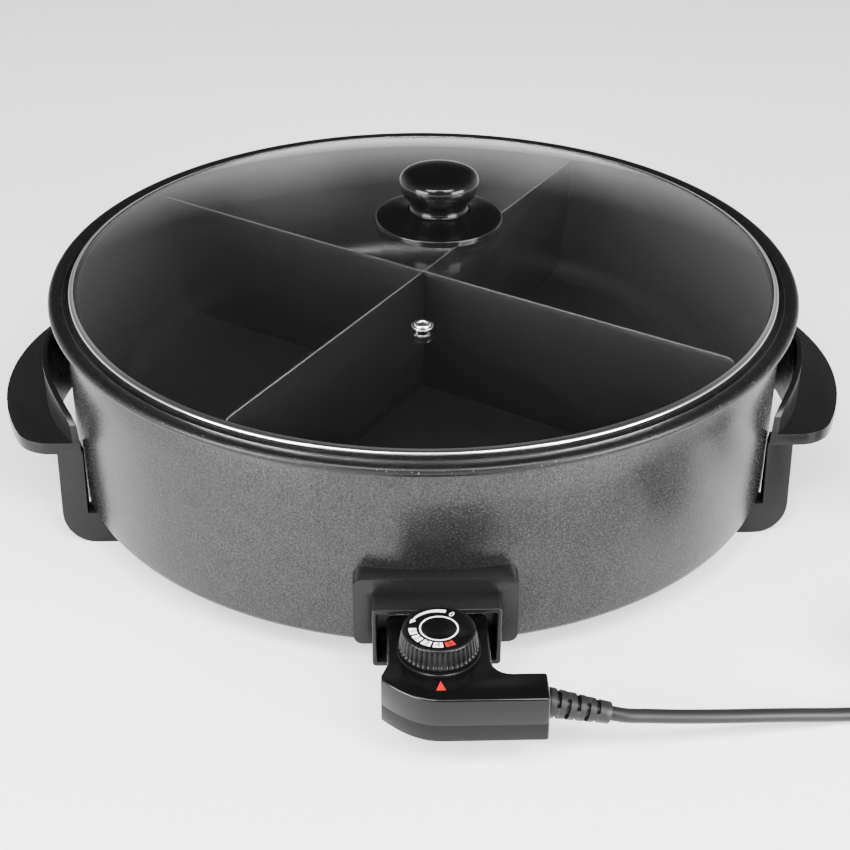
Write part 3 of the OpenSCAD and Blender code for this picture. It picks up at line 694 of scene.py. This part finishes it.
@dataclass
class Pan:
    """Well, jacket and everything under the floor."""

    shop: Workshop
    jacket_r: float = 202.0
    foot_z: float = 18.0
    floor_z: float = 51.0
    seat_z: float = 124.0
    rim_z: float = 127.5
    rim_r: float = 210.0
    step_r: float = 201.5
    well_r: float = 194.0
    foot_r: float = 178.0
    sheet: float = 2.0

    # Finishes of the nodes that keep their CAD shape
    UNSEEN: ClassVar[dict[str, tuple[str, ...]]] = {
        "plated_steel": ("base_plate", "base_screws", "element_straps", "terminal_bracket", "probe_guide",
                         "socket_screws", "handle_screws", "knob_screw", "case_screws", "dial_shaft"),
        "bright_steel": ("terminal_pins", "thermal_fuse", "probe_tube"),
        "brass_contact": ("earth_spring", "contact_sleeves", "earth_blade", "bimetal_strip"),
        "element_sheath": ("heating_element",),
        "ceramic": ("pin_insulators",),
        "washer_rubber": ("knob_washer",),
        "switch_plastic": ("switch_block",),
        "case_grey": ("cord_clamp",),
    }

    def build(self) -> None:
        """Makes the pan's visible shells and dresses the hidden parts."""
        self.well()
        self.jacket()
        self.hidden()

    def well(self) -> None:
        """Spun well with its seat and rolled rim."""
        top = self.rim_z
        fillet = 16.0
        inside = [(0.0, self.floor_z), (60.0, self.floor_z), (120.0, self.floor_z)]
        inside += arc(self.foot_r - fillet, self.floor_z + fillet, fillet, -90, -10, 14)
        inside += [(self.well_r - 0.7, self.seat_z - 0.9), (self.well_r, self.seat_z - 0.25),
                   (self.well_r + 0.7, self.seat_z), (self.step_r - 0.8, self.seat_z)]
        inside += arc(self.step_r - 0.8, self.seat_z + 0.8, 0.8, -90, 0, 4)
        inside += arc(self.step_r + 1.4, top - 2.0, 1.4, 180, 90, 6)
        inside += [(self.step_r + 3.4, top - 0.25)]
        inside += arc(self.rim_r - 2.6, top - 2.7, 2.6, 88, -80, 14)
        outside = [(self.rim_r - 3.6, top - 4.6), (self.rim_r - 4.6, top - 3.0),
                   (self.step_r + self.sheet, top - 2.6),
                   (self.step_r + self.sheet, self.seat_z - self.sheet),
                   (self.well_r + self.sheet, self.seat_z - self.sheet)]
        outside += arc(self.foot_r - fillet, self.floor_z + fillet, fillet + self.sheet, -10, -90, 14)
        outside += [(0.0, self.floor_z - self.sheet)]
        pan = self.shop.lathe("inner_pan_shell", inside + outside, (0.0, AXIS_Y), 256)
        pan.data.materials.append(self.shop.paint["well_coating_painted_shade"])
        pan.data.materials.append(self.shop.paint["speckled_coating"])
        # The well below the seat keeps the darker copy, painted shade; the seat and rim take the speckled
        # coating
        for polygon in pan.data.polygons:
            if polygon.center.z > (self.seat_z - 1.5) * MM and math.hypot(
                    polygon.center.x, polygon.center.y - AXIS_Y * MM) > (self.well_r + 0.2) * MM:
                polygon.material_index = 1
        self.shop.fit(pan, Body.BASE, "well_coating_painted_shade", "coated_pan", ["inner_pan"], 30.0)

    def jacket(self) -> None:
        """Painted wall with its turned-in foot, open behind the socket."""
        low, corner, wall = self.foot_z, 4.0, 1.0
        profile = [(self.jacket_r - 0.2, self.seat_z - 2.05), (self.jacket_r, self.seat_z - 2.6)]
        profile += [(self.jacket_r, z) for z in (100.0, 75.0, 50.0, 30.0)]
        profile += arc(self.jacket_r - corner, low + corner, corner, 0, -90, 8)
        profile += [(self.jacket_r - 20.0, low), (self.jacket_r - 20.0, low + wall)]
        profile += arc(self.jacket_r - corner, low + corner, corner - wall, -90, 0, 6)
        profile += [(self.jacket_r - wall, self.seat_z - 2.05)]
        jacket = self.shop.lathe("outer_jacket_shell", profile, (0.0, AXIS_Y), 256)
        half, front, back, sill, head = 28.8, -175.0, -150.0, 24.4, 53.6
        hole = self.shop.prism("sleeve_hole", [(-half, front), (half, front), (half, back), (-half, back)],
                               sill, head)
        self.shop.carve(jacket, hole)
        self.shop.fit(jacket, Body.BASE, "hammered_paint", "hammered_paint", ["outer_jacket"], 30.0)

    def hidden(self) -> None:
        """Finishes for the parts that the jacket and the pan hide."""
        for finish, nodes in self.UNSEEN.items():
            for node in nodes:
                data = bpy.data.objects[node].data
                data.materials.clear()
                data.materials.append(self.shop.paint[finish])
                LOG.info("%s keeps its shape, %s", node, finish)


@dataclass
class Handles:
    """The two grips with their shields and legs, and the socket between them."""

    shop: Workshop
    rounding: float = 1.3

    def build(self) -> None:
        """Rounds the moulded parts."""
        for side in ("left", "right"):
            grip = self.shop.softened(f"handle_{side}_moulding", f"handle_{side}", self.rounding)
            self.shop.fit(grip, Body.BASE, "black_phenolic", "black_phenolic", [f"handle_{side}"], 40.0)
        for node, width in (("socket_housing", 1.6), ("socket_sleeve", 0.7)):
            part = self.shop.softened(f"{node}_moulding", node, width)
            self.shop.fit(part, Body.BASE, "black_phenolic", "black_phenolic", [node], 40.0)


# ---------------------------------------------------------------- lid and divider


@dataclass
class Lid:
    """Glass dome with its steel band, knob and steam vent."""

    shop: Workshop
    seat_z: float = 124.0
    glass_r: float = 198.1
    edge_z: float = 128.6
    top_z: float = 157.3
    glass: float = 4.0
    band_r: float = 198.7
    band_in: float = 195.5
    knob: tuple[float, float] = (8.4, AXIS_Y)
    vent: tuple[float, float] = (-4.0, AXIS_Y - 110.0)
    dome_r: float = field(init=False)

    def __post_init__(self) -> None:
        """Works out the dome's radius from its rise."""
        rise = self.top_z - self.edge_z
        self.dome_r = (self.glass_r ** 2 + rise ** 2) / (2 * rise)

    def height(self, r: float, under: float = 0.0) -> float:
        """Height of the dome at a radius, or of a shell below it."""
        return self.top_z - self.dome_r + math.sqrt((self.dome_r - under) ** 2 - r * r)

    def build(self) -> None:
        """Makes the lid's pieces."""
        self.dome()
        self.band()
        self.knob_parts()
        self.eyelet()

    def dome(self) -> None:
        """Glass shell with its two holes."""
        n = 40
        radii = [self.glass_r * i / n for i in range(n + 1)]
        profile = [(r, self.height(r)) for r in radii[:-1]]
        profile += [(self.glass_r - 0.4, self.height(self.glass_r) - 0.1), (self.glass_r, self.edge_z - 0.6)]
        profile += [(r, self.height(r, self.glass)) for r in reversed(radii)]
        glass = self.shop.lathe("lid_glass_dome", profile, (0.0, AXIS_Y), 256)
        for name, place, radius in (("knob_hole", self.knob, 3.2), ("vent_hole", self.vent, 3.6)):
            drill = [(0.0, 100.0), (radius, 100.0), (radius, 190.0), (0.0, 190.0)]
            tool = self.shop.lathe(name, drill, place, 48)
            self.shop.carve(glass, tool)
        self.shop.fit(glass, Body.LID, "clear_glass", "clear_glass", ["lid_glass"], 30.0)
        self.true_curve(glass)

    def true_curve(self, glass: bpy.types.Object) -> None:
        """Gives the dome's two faces the directions of the sphere that they follow.

        Args:
            glass: the dome.
        """
        centre = Vector((0.0, AXIS_Y, self.top_z - self.dome_r)) * MM
        data = glass.data
        directions: list[Point] = [(0.0, 0.0, 1.0)] * len(data.loops)
        for polygon in data.polygons:
            outward = (polygon.center - centre).normalized()
            facing = outward.dot(polygon.normal)
            for index in polygon.loop_indices:
                radial = (data.vertices[data.loops[index].vertex_index].co - centre).normalized()
                if abs(facing) > 0.95:
                    directions[index] = tuple(radial if facing > 0 else -radial)
                else:
                    directions[index] = tuple(polygon.normal)
        data.normals_split_custom_set(directions)

    def band(self) -> None:
        """Rolled steel band that holds the glass edge."""
        top = self.edge_z + 0.7
        rise = self.height(self.band_in)
        profile = [(self.band_in, self.seat_z), (self.band_r - 0.7, self.seat_z)]
        profile += arc(self.band_r - 0.7, self.seat_z + 0.7, 0.7, -90, 0, 4)
        profile += arc(self.band_r - 1.3, top - 1.3, 1.3, 0, 90, 7)
        profile += [(self.band_in + 0.4, rise + 0.62), (self.band_in, rise + 0.45),
                    (self.band_in, rise + 0.1),
                    (self.glass_r + 0.05, self.height(self.glass_r) + 0.1),
                    (self.glass_r + 0.05, self.height(self.glass_r, self.glass) - 0.1),
                    (self.band_in, self.height(self.band_in, self.glass) - 0.1)]
        band = self.shop.lathe("lid_band_ring", profile, (0.0, AXIS_Y), 256)
        self.shop.fit(band, Body.LID, "bright_steel", "bright_steel", ["lid_band"], 30.0)

    def knob_parts(self) -> None:
        """Base disc and waisted grip of the knob."""
        r, top, z0 = 35.3, self.top_z, self.top_z + 7.4
        wide, fall = 22.1, 16.6
        base = [(2.8, top + 0.3), (12.0, top + 0.25), (24.0, top - 0.05), (r - 0.7, top - 0.5)]
        base += [(r, top + 0.1), (r, top + 2.6)] + arc(r - 0.9, top + 2.6, 0.9, 0, 80, 5)
        base += [(31.0, top + 4.15), (26.0, top + 5.0), (21.0, top + 6.05), (18.4, top + 6.8),
                 (17.0, z0 - 0.1), (2.8, z0)]
        disc = self.shop.lathe("knob_base_disc", base, self.knob, 128)
        self.shop.fit(disc, Body.LID, "gloss_black", "gloss_black", ["knob_base"], 30.0)
        grip = [(0.0, z0 + 8.0), (2.5, z0 + 8.0), (2.5, z0), (15.4, z0)]
        grip += arc(15.7, z0 + 0.5, 0.5, -90, 50, 5)
        grip += [(15.65, z0 + 1.5), (15.45, z0 + 2.6), (15.6, z0 + 3.8), (16.3, z0 + 5.1), (17.5, z0 + 6.6),
                 (18.9, z0 + 8.1), (20.1, z0 + 9.8), (21.1, z0 + 11.7), (21.75, z0 + 13.6),
                 (wide - 0.05, z0 + 15.4), (wide, z0 + fall)]
        grip += [(wide - inset, z0 + fall + rise) for inset, rise in (
            (0.1, 1.0), (0.4, 2.0), (0.95, 3.0), (1.8, 3.95), (3.0, 4.75), (4.8, 5.4), (7.2, 6.0),
            (10.2, 6.5), (14.0, 6.9), (18.2, 7.15), (wide, 7.2))]
        cap = self.shop.lathe("knob_grip_cap", grip, self.knob, 128)
        self.shop.fit(cap, Body.LID, "gloss_black", "gloss_black", ["knob_grip"], 36.0)

    def eyelet(self) -> None:
        """Polished eyelet in the glass."""
        z = self.height(110.0)
        profile = [(2.4, z - 5.6), (3.9, z - 5.6), (3.9, z - 4.9), (3.4, z - 4.8), (3.4, z + 1.1),
                   (5.3, z + 1.0)]
        profile += arc(5.25, z + 1.35, 0.35, -80, 70, 4) + [(4.7, z + 1.75), (4.25, z + 1.8)]
        profile += arc(3.35, z + 1.9, 0.85, 0, 90, 6) + arc(3.3, z + 1.85, 0.9, 95, 180, 6)
        vent = self.shop.lathe("steam_vent_eyelet", profile, self.vent, 64)
        self.shop.fit(vent, Body.LID, "bright_steel", "bright_steel", ["steam_vent"], 36.0)


@dataclass
class Divider:
    """Two plates slotted into each other."""

    shop: Workshop

    def build(self) -> None:
        """Rounds the plates' edges."""
        for part in ("long", "short"):
            plate = self.shop.softened(f"divider_{part}_plate", f"divider_{part}", 0.25, 2)
            # The divider plates take the darker coating copy: painted shade, with a painted highlight on
            # their tops
            self.shop.fit(plate, Body.DIVIDER, "divider_coating_painted_shade_and_top_light", "coated_pan", [f"divider_{part}"], 40.0)


# ---------------------------------------------------------------- thermostat


@dataclass
class Thermostat:
    """Plug-in case with its dial, marks and strain relief."""

    shop: Workshop
    dial: tuple[float, float] = DIAL_AT
    top_z: float = 49.35
    skirt_r: float = 19.0
    face_r: float = 16.5
    dial_top: float = 62.55
    ribs: int = 44
    block_in: float = 10.6
    block_out: float = 14.2
    block_half: float = 10.2
    sweep_r: float = 14.1
    numeral_r: float = 12.4
    numeral_size: float = 4.6
    face_drop: float = 0.2
    ink: float = 0.08

    # Numeral, angle in degrees, finish of its block and of the numeral
    SCALE: ClassVar[tuple[tuple[str, float, str, str], ...]] = (
        ("1", 189.0, "white_ink", "black_ink"), ("2", 215.0, "white_ink", "black_ink"),
        ("3", 240.5, "white_ink", "black_ink"), ("4", 266.0, "white_ink", "black_ink"),
        ("5", 291.5, "red_ink", "black_ink"), ("0", 58.5, "", "white_ink"))

    def build(self) -> None:
        """Makes the case, the dial and the cord's anchor."""
        for node, width, crown, finish, slot in (("case_top", 0.25, 1.5, "gloss_black", "gloss_black"),
                                                 ("case_bottom", 0.6, 0.0, "case_grey", "case_grey")):
            part = self.shop.softened(f"{node}_shell", node, width, crown=crown)
            self.shop.fit(part, Body.CONTROL, finish, slot, [node], 40.0)
        self.collar()
        self.knob()
        self.marks()
        self.relief()

    def collar(self) -> None:
        """Fixed ring under the dial, and the red pointer."""
        z = self.top_z
        section = [(4.4, z), (19.8, z), (19.8, z + 0.8), (19.5, z + 1.1), (17.1, z + 1.15), (17.0, z + 2.0),
                   (4.4, z + 2.0)]
        ring = self.shop.lathe("dial_collar_ring", section, self.dial, 128)
        self.shop.fit(ring, Body.CONTROL, "dial_black", "black_phenolic", ["dial_collar"], 30.0)
        y = self.dial[1] - self.skirt_r - 3.4
        outline = [(0.0, y), (-2.2, y - 6.4), (2.2, y - 6.4)]
        arrow = self.shop.prism("pointer_mark_print", outline, z, z + 0.3)
        self.shop.fit(arrow, Body.CONTROL, "red_ink", "red_mark", ["pointer_mark"], 30.0)

    def knob(self) -> None:
        """Fluted dial with its printed face."""
        z0, top = self.top_z + 2.3, self.dial_top
        profile = [(3.0, z0), (self.skirt_r - 0.4, z0), (self.skirt_r, z0 + 0.4), (self.skirt_r, z0 + 1.3)]
        for i in range(7):
            t = i / 6
            profile.append((self.skirt_r - 0.25 - (self.skirt_r - self.face_r - 1.3) * t,
                            z0 + 1.7 + (top - z0 - 3.3) * t))
        profile += [(self.face_r + 0.9, top - 0.9), (self.face_r + 0.6, top - 0.35),
                    (self.face_r + 0.1, top - 0.05), (self.face_r - 0.1, top),
                    (self.face_r - 0.3, top - 0.15), (self.face_r - 0.6, top - 0.2),
                    (self.face_r - 0.9, top - 0.3), (self.face_r - 0.95, top - 0.8),
                    (3.0, top - 0.8)]

        def flute(index: int, a: float) -> float:
            """Depth of the grooves down the skirt.

            Args:
                index: place in the profile.
                a: angle round the dial.

            Returns:
                The change of radius.
            """
            if not 4 <= index <= 10:
                return 0.0
            wave = 0.5 + 0.5 * math.cos(self.ribs * a)
            return -0.75 * (1.0 - wave ** 0.6)
        body = self.shop.lathe("dial_knob_body", profile, self.dial, self.ribs * 8, flute)
        self.shop.fit(body, Body.DIAL, "dial_black", "black_phenolic", ["dial_knob"], 42.0)
        disc = [(0.0, top - 0.75), (self.face_r - 0.95, top - 0.75), (self.face_r - 0.95, top - 0.3),
                (self.face_r - 1.15, top - self.face_drop), (0.0, top - self.face_drop)]
        face = self.shop.lathe("dial_face_disc", disc, self.dial, 128)
        self.shop.fit(face, Body.DIAL, "gloss_black", "gloss_black", ["dial_face"], 30.0)

    def plate(self, name: str, outline: Profile, finish: str, slot: str, lift: float) -> None:
        """Thin printed mark on the dial's face.

        Args:
            name: the piece's name.
            outline: its corners, from the dial's axis.
            finish: name of its finish.
            slot: the record's material slot.
            lift: its thickness.
        """
        z = self.dial_top - self.face_drop
        placed = [(self.dial[0] + x, self.dial[1] + y) for x, y in outline]
        mark = self.shop.prism(name, placed, z, z + lift)
        self.shop.fit(mark, Body.DIAL, finish, slot, (), 30.0)

    def marks(self) -> None:
        """Scale blocks, numerals, arrow and centre ring on the dial."""
        for digit, angle, finish, ink in self.SCALE:
            if finish:
                outline = arc(0, 0, self.block_out, angle - self.block_half, angle + self.block_half, 6)
                outline += arc(0, 0, self.block_in, angle + self.block_half, angle - self.block_half, 6)
                self.plate(f"dial_block_{digit}", outline, finish, "gloss_black", self.ink)
            self.numeral(digit, angle, ink)
        polar = [(74 + 5.5 * i, self.sweep_r) for i in range(15)]
        polar += [(151 - 5.5 * i, 13.2 - 0.08 * i) for i in range(15)]
        sweep = [(r * math.cos(math.radians(a)), r * math.sin(math.radians(a))) for a, r in polar]
        self.plate("dial_sweep", sweep, "white_ink", "gloss_black", self.ink)
        tip, base = math.radians(163.0), math.radians(151.5)
        corners = ((self.sweep_r, tip), (12.0, base), (14.7, base))
        head = [(r * math.cos(a), r * math.sin(a)) for r, a in corners]
        self.plate("dial_sweep_head", head, "white_ink", "gloss_black", self.ink)
        z = self.dial_top - self.face_drop
        section = [(8.5, z), (9.2, z), (9.2, z + self.ink), (8.5, z + self.ink)]
        ring = self.shop.lathe("dial_centre_ring", section, self.dial, 64)
        self.shop.fit(ring, Body.DIAL, "white_ink", "gloss_black", (), 30.0)

    def numeral(self, digit: str, angle: float, ink: str) -> None:
        """One numeral, read from outside the dial.

        Args:
            digit: the numeral.
            angle: its place round the dial, in degrees.
            ink: name of its finish.
        """
        curve = bpy.data.curves.new(f"numeral_{digit}", "FONT")
        curve.body = digit
        curve.size = self.numeral_size * MM
        curve.align_x = "CENTER"
        curve.align_y = "CENTER"
        curve.extrude = 0.04 * MM
        curve.resolution_u = 3
        source = show(f"numeral_{digit}_text", curve)
        bpy.context.view_layer.update()
        data = bpy.data.meshes.new_from_object(source.evaluated_get(bpy.context.evaluated_depsgraph_get()))
        bpy.data.objects.remove(source)
        bm = bmesh.new()
        bm.from_mesh(data)
        bmesh.ops.remove_doubles(bm, verts=bm.verts, dist=1e-6)
        bm.to_mesh(data)
        bm.free()
        data.materials.clear()
        a = math.radians(angle)
        place = Vector(((self.dial[0] + self.numeral_r * math.cos(a)) * MM,
                        (self.dial[1] + self.numeral_r * math.sin(a)) * MM,
                        (self.dial_top - 0.11) * MM))
        data.transform(Matrix.Translation(place) @ Matrix.Rotation(a + math.pi / 2, 4, "Z"))
        mark = show(f"dial_numeral_{digit}", data)
        self.shop.fit(mark, Body.DIAL, ink, "gloss_black", (), 30.0)

    def relief(self) -> None:
        """Tapered sleeve with staggered notches, round the cord."""
        tilt = math.atan2(RELIEF_DROP, RELIEF_REACH)
        length = RELIEF_REACH / math.cos(tilt)
        count = 6
        pitch = (length - 1.0) / count
        profile: Profile = [(3.5, -0.4), (7.0, -0.4), (7.2, 0.2)]
        rows: dict[int, int] = {}
        for i in range(count):
            z, r = i * pitch, 7.2 - 0.34 * i
            profile += [(r, z + 0.4), (r - 0.1, z + pitch * 0.5), (r - 0.15, z + pitch * 0.6)]
            if i < count - 1:
                for share in (0.6, 0.98):
                    rows[len(profile)] = i
                    profile.append((r - 0.2, z + pitch * share))
                profile.append((r - 0.34, z + pitch * 1.02))
        profile += [(5.3, length - 0.5), (4.9, length), (3.5, length)]

        def notch(index: int, a: float) -> float:
            """Depth of the slots, which change sides from row to row.

            Args:
                index: place in the profile.
                a: angle round the sleeve.

            Returns:
                The change of radius.
            """
            if index not in rows:
                return 0.0
            side = abs(math.sin(a)) if rows[index] % 2 else abs(math.cos(a))
            return -2.6 if side > 0.42 else 0.0
        sleeve = self.shop.lathe("strain_relief_sleeve", profile, (0.0, 0.0), 96, notch)
        place = Vector([c * MM for c in RELIEF_ROOT])
        sleeve.data.transform(Matrix.Translation(place) @ Matrix.Rotation(math.pi / 2 + tilt, 4, "Y"))
        self.shop.fit(sleeve, Body.CONTROL, "cord_rubber", "cord_rubber", ["strain_relief"], 38.0)


# ---------------------------------------------------------------- cord


@dataclass
class MainsCord:
    """Cord from the thermostat to its plug, wound beside the pan."""

    shop: Workshop
    diameter: float = 7.0
    centre: tuple[float, float] = (270.0, -163.0)
    outer: float = 41.0
    inner: float = 34.0
    low: float = 3.5
    high: float = 10.5
    plug: Point = (311.0, -87.0, 19.0)

    def route(self) -> list[Vector]:
        """Centreline from the strain relief to the plug.

        Returns:
            Its points, in millimetres.
        """
        x, y, z = RELIEF_ROOT
        tip = Vector((x + RELIEF_REACH, y, z - RELIEF_DROP))
        step = Vector((RELIEF_REACH, 0.0, -RELIEF_DROP)).normalized() * 8.0
        run = [tuple(tip - step), tuple(tip), tuple(tip + step), (98, -231.3, 25.8), (110, -229.3, 23.5),
               (123, -227, 21.2), (136, -224.5, 18.9), (149, -221.7, 16.5), (162, -218.7, 13.9),
               (175, -215.5, 11), (188, -212.3, 8), (201, -209.4, 5.6), (214, -207, 4.2), (228, -205, 3.6),
               (240, -204.4, 3.5), (253, -204, 3.5)]
        tail = [(311, -146, 10.5), (311, -135, 12.4), (311, -127, 15), (311, -119, 17.6), (311, -111, 19),
                (311, -101, 19), (311, -87, 19)]
        return smooth_path(run, 4)[:-1] + self.turns() + smooth_path(tail, 4)

    def turns(self) -> list[Vector]:
        """The wound turns: out, in, up, and out again.

        Returns:
            Their points, in millimetres.
        """
        def ease(t: float) -> float:
            """Smooth share of a change.

            Args:
                t: how far through the change, from 0 to 1.

            Returns:
                The share, from 0 to 1.
            """
            t = min(1.0, max(0.0, t))
            return t * t * (3 - 2 * t)
        points: list[Vector] = []
        for k in range(-16, 217):
            a = k * 5.0
            r = self.outer + (self.inner - self.outer) * (ease((a - 150) / 120) - ease((a - 790) / 120))
            z = self.low + (self.high - self.low) * ease((a - 510) / 60)
            points.append(Vector((self.centre[0] + r * math.cos(math.radians(a)),
                                  self.centre[1] + r * math.sin(math.radians(a)), z)))
        return points

    def build(self) -> None:
        path = [p * MM for p in self.route()]
        curve = bpy.data.curves.new("mains_cord_line", "CURVE")
        curve.dimensions = "3D"
        curve.bevel_depth = self.diameter / 2 * MM
        curve.bevel_resolution = 4
        curve.use_fill_caps = True
        spline = curve.splines.new("POLY")
        spline.points.add(len(path) - 1)
        for point, place in zip(spline.points, path):
            point.co = (*place, 1.0)
        cord = show("mains_cord", curve)
        spline.use_smooth = True
        length = sum((b - a).length for a, b in zip(path, path[1:]))
        LOG.info("cord length %.3f m", length)
        self.shop.fit(cord, Body.CONTROL, "cord_rubber", "cord_rubber",
                      ["cord_run", "cord_coil", "cord_tail"])
        plug = self.plug_parts()

    def plug_parts(self) -> list[bpy.types.Object]:
        """Moulded plug, its pins and the tie round the turns.

        Returns:
            The pieces that go with the cord.
        """
        body: Profile = [(3.5, -14.0), (4.6, -14.0), (5.2, -13.4), (5.6, -8.0), (6.3, -2.0), (7.4, 2.0),
                         (9.5, 4.6), (13.4, 6.8), (16.6, 8.6), (18.0, 10.4), (18.5, 12.4), (18.5, 20.0),
                         (17.9, 21.2), (17.9, 30.0), (18.5, 31.2), (18.5, 37.6), (18.1, 38.6), (17.4, 39.0),
                         (0.0, 39.0), (0.0, -0.2), (3.5, -0.2)]
        turn = Matrix.Translation(Vector(self.plug) * MM) @ Matrix.Rotation(-math.pi / 2, 4, "X")
        shell = self.shop.lathe("plug_body_shell", body, (0.0, 0.0), 96, None, False)
        shell.data.transform(turn)
        self.shop.fit(shell, Body.CONTROL, "cord_rubber", "cord_rubber", ["plug_body"], 36.0)
        pieces = [shell]
        for index, side in enumerate((-9.5, 9.5)):
            pin = [(0.0, 39.0), (2.4, 39.0), (2.4, 55.6)] + arc(0.9, 56.5, 1.5, 0, 90, 6) + [(0.0, 58.0)]
            rod = self.shop.lathe(f"plug_pin_{index + 1}", pin, (side, 0.0), 32)
            rod.data.transform(turn)
            self.shop.fit(rod, Body.CONTROL, "bright_steel", "bright_steel", ["plug_pins"], 36.0)
            pieces.append(rod)
        strap = self.shop.softened("coil_tie_strap", "coil_tie", 0.25, 2)
        self.shop.fit(strap, Body.CONTROL, "washer_rubber", "cord_rubber", ["coil_tie"], 40.0)
        return pieces + [strap]


# ---------------------------------------------------------------- studio


@dataclass(frozen=True)
class Lamp:
    """One rectangular soft light, in metres and watts."""

    name: str
    place: Point
    target: Point
    size: tuple[float, float]
    watts: float


@dataclass
class Studio:
    """Camera, floor and soft lights."""

    lens: float = 72.0
    eye: Point = (-27.7, -870.2 + AXIS_Y, 553.5)
    roll: float = 0.274
    across: Point = (0.99945, -0.0332, 0.0)
    ahead: Point = (0.0283, 0.8539, -0.5197)

    # Brightness of the sky behind, at the horizon, in front and at the sides
    back: float = 0.06
    horizon: float = 0.42
    front: float = 0.4
    sides: float = 1.5

    LAMPS: ClassVar[tuple[Lamp, ...]] = (
        Lamp("front_left", (-0.75, -1.3, 1.7), (0.0, 0.0, 0.0), (0.8, 0.7), 64.0),
        Lamp("front_right", (0.75, -1.3, 1.7), (0.0, 0.0, 0.0), (0.8, 0.7), 64.0),
        Lamp("top_strip", (0.0, -1.15, 1.8), (0.0, -0.2, 0.0), (1.1, 0.22), 24.0),
        Lamp("left_bank", (-1.3, -1.0, 0.42), (0.0, 0.0, 0.06), (1.0, 0.75), 95.0),
        Lamp("right_bank", (1.3, -1.0, 0.42), (0.0, 0.0, 0.06), (1.0, 0.75), 95.0))

    def camera(self) -> None:
        """Camera at the viewing angle."""
        right = Vector(self.across).normalized()
        ahead = Vector(self.ahead).normalized()
        up = right.cross(ahead)
        c, s = math.cos(math.radians(self.roll)), math.sin(math.radians(self.roll))
        right, up = c * right + s * up, -s * right + c * up
        data = bpy.data.cameras.new("view")
        data.lens = self.lens
        data.sensor_width = 36.0
        data.clip_end = 20.0
        camera = show("view", data)
        rotation = Matrix((right, up, -ahead)).transposed().to_4x4()
        camera.matrix_world = Matrix.Translation(Vector(self.eye) * MM) @ rotation
        bpy.context.scene.camera = camera

    def lamp(self, light: Lamp) -> None:
        """Hangs one rectangular soft light.

        Args:
            light: its place, size and power.
        """
        data = bpy.data.lights.new(light.name, "AREA")
        data.shape = "RECTANGLE"
        data.size, data.size_y = light.size
        data.energy = light.watts
        lamp = show(light.name, data)
        lamp.location = light.place
        aim = Vector(light.target) - Vector(light.place)
        lamp.rotation_euler = aim.to_track_quat("-Z", "Y").to_euler()

    def build(self) -> None:
        """Sets the floor, the sky and the lamps."""
        bm = bmesh.new()
        corners = [bm.verts.new(p) for p in ((-3, -3, 0), (3, -3, 0), (3, 3, 0), (-3, 3, 0))]
        bm.faces.new(corners)
        floor = cast("floor", bm)
        r = Recipe("pale_floor")
        cloud = r.noise(3.0, 2.0, 0.5)
        r.set(Base_Color=r.mix(cloud, (0.94, 0.94, 0.94), (0.96, 0.96, 0.96)), Roughness=0.6)
        floor.data.materials.append(r.material)
        self.sky()
        for lamp in self.LAMPS:
            self.lamp(lamp)

    def sky(self) -> None:
        """Studio surround: bright at the sides and low down, dark higher up behind."""
        world = bpy.data.worlds.new("studio")
        world.use_nodes = True
        tree = world.node_tree
        shade = tree.nodes["Background"]
        coords = tree.nodes.new("ShaderNodeTexCoord")
        parts = tree.nodes.new("ShaderNodeSeparateXYZ")
        tree.links.new(coords.outputs["Generated"], parts.inputs[0])
        height, depth = Signal(tree, parts.outputs[2]), Signal(tree, parts.outputs[1])
        side = Signal(tree, parts.outputs[0])
        wings = (side * side).above(0.3, 0.5)
        low = 1.0 - height.above(0.12, 0.24)
        behind = depth.above(0.0, 0.9)
        level = behind * (self.back + low * self.horizon) + (1.0 - behind) * self.front
        level += wings * (1.0 - height.above(0.5, 0.6)) * self.sides
        tree.links.new(level.socket, shade.inputs[1])
        shade.inputs[0].default_value = (1.0, 1.0, 1.0, 1.0)
        bpy.context.scene.world = world


def main() -> None:
    """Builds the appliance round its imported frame."""
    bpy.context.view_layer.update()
    shop = Workshop(Paintbox())
    studio = Studio()
    studio.camera()
    MainsCord(shop).build()
    studio.build()
    for group in (Pan(shop), Handles(shop), Lid(shop), Divider(shop), Thermostat(shop)):
        group.build()
    bpy.context.view_layer.update()


logging.basicConfig(level=logging.INFO, format="%(message)s")
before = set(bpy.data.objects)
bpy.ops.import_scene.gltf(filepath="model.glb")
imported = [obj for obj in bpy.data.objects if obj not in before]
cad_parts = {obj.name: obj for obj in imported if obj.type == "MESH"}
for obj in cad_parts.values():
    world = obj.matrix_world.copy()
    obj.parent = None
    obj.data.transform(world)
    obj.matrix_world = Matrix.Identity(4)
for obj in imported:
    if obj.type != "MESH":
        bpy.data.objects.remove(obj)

if __name__ == "__main__":
    main()
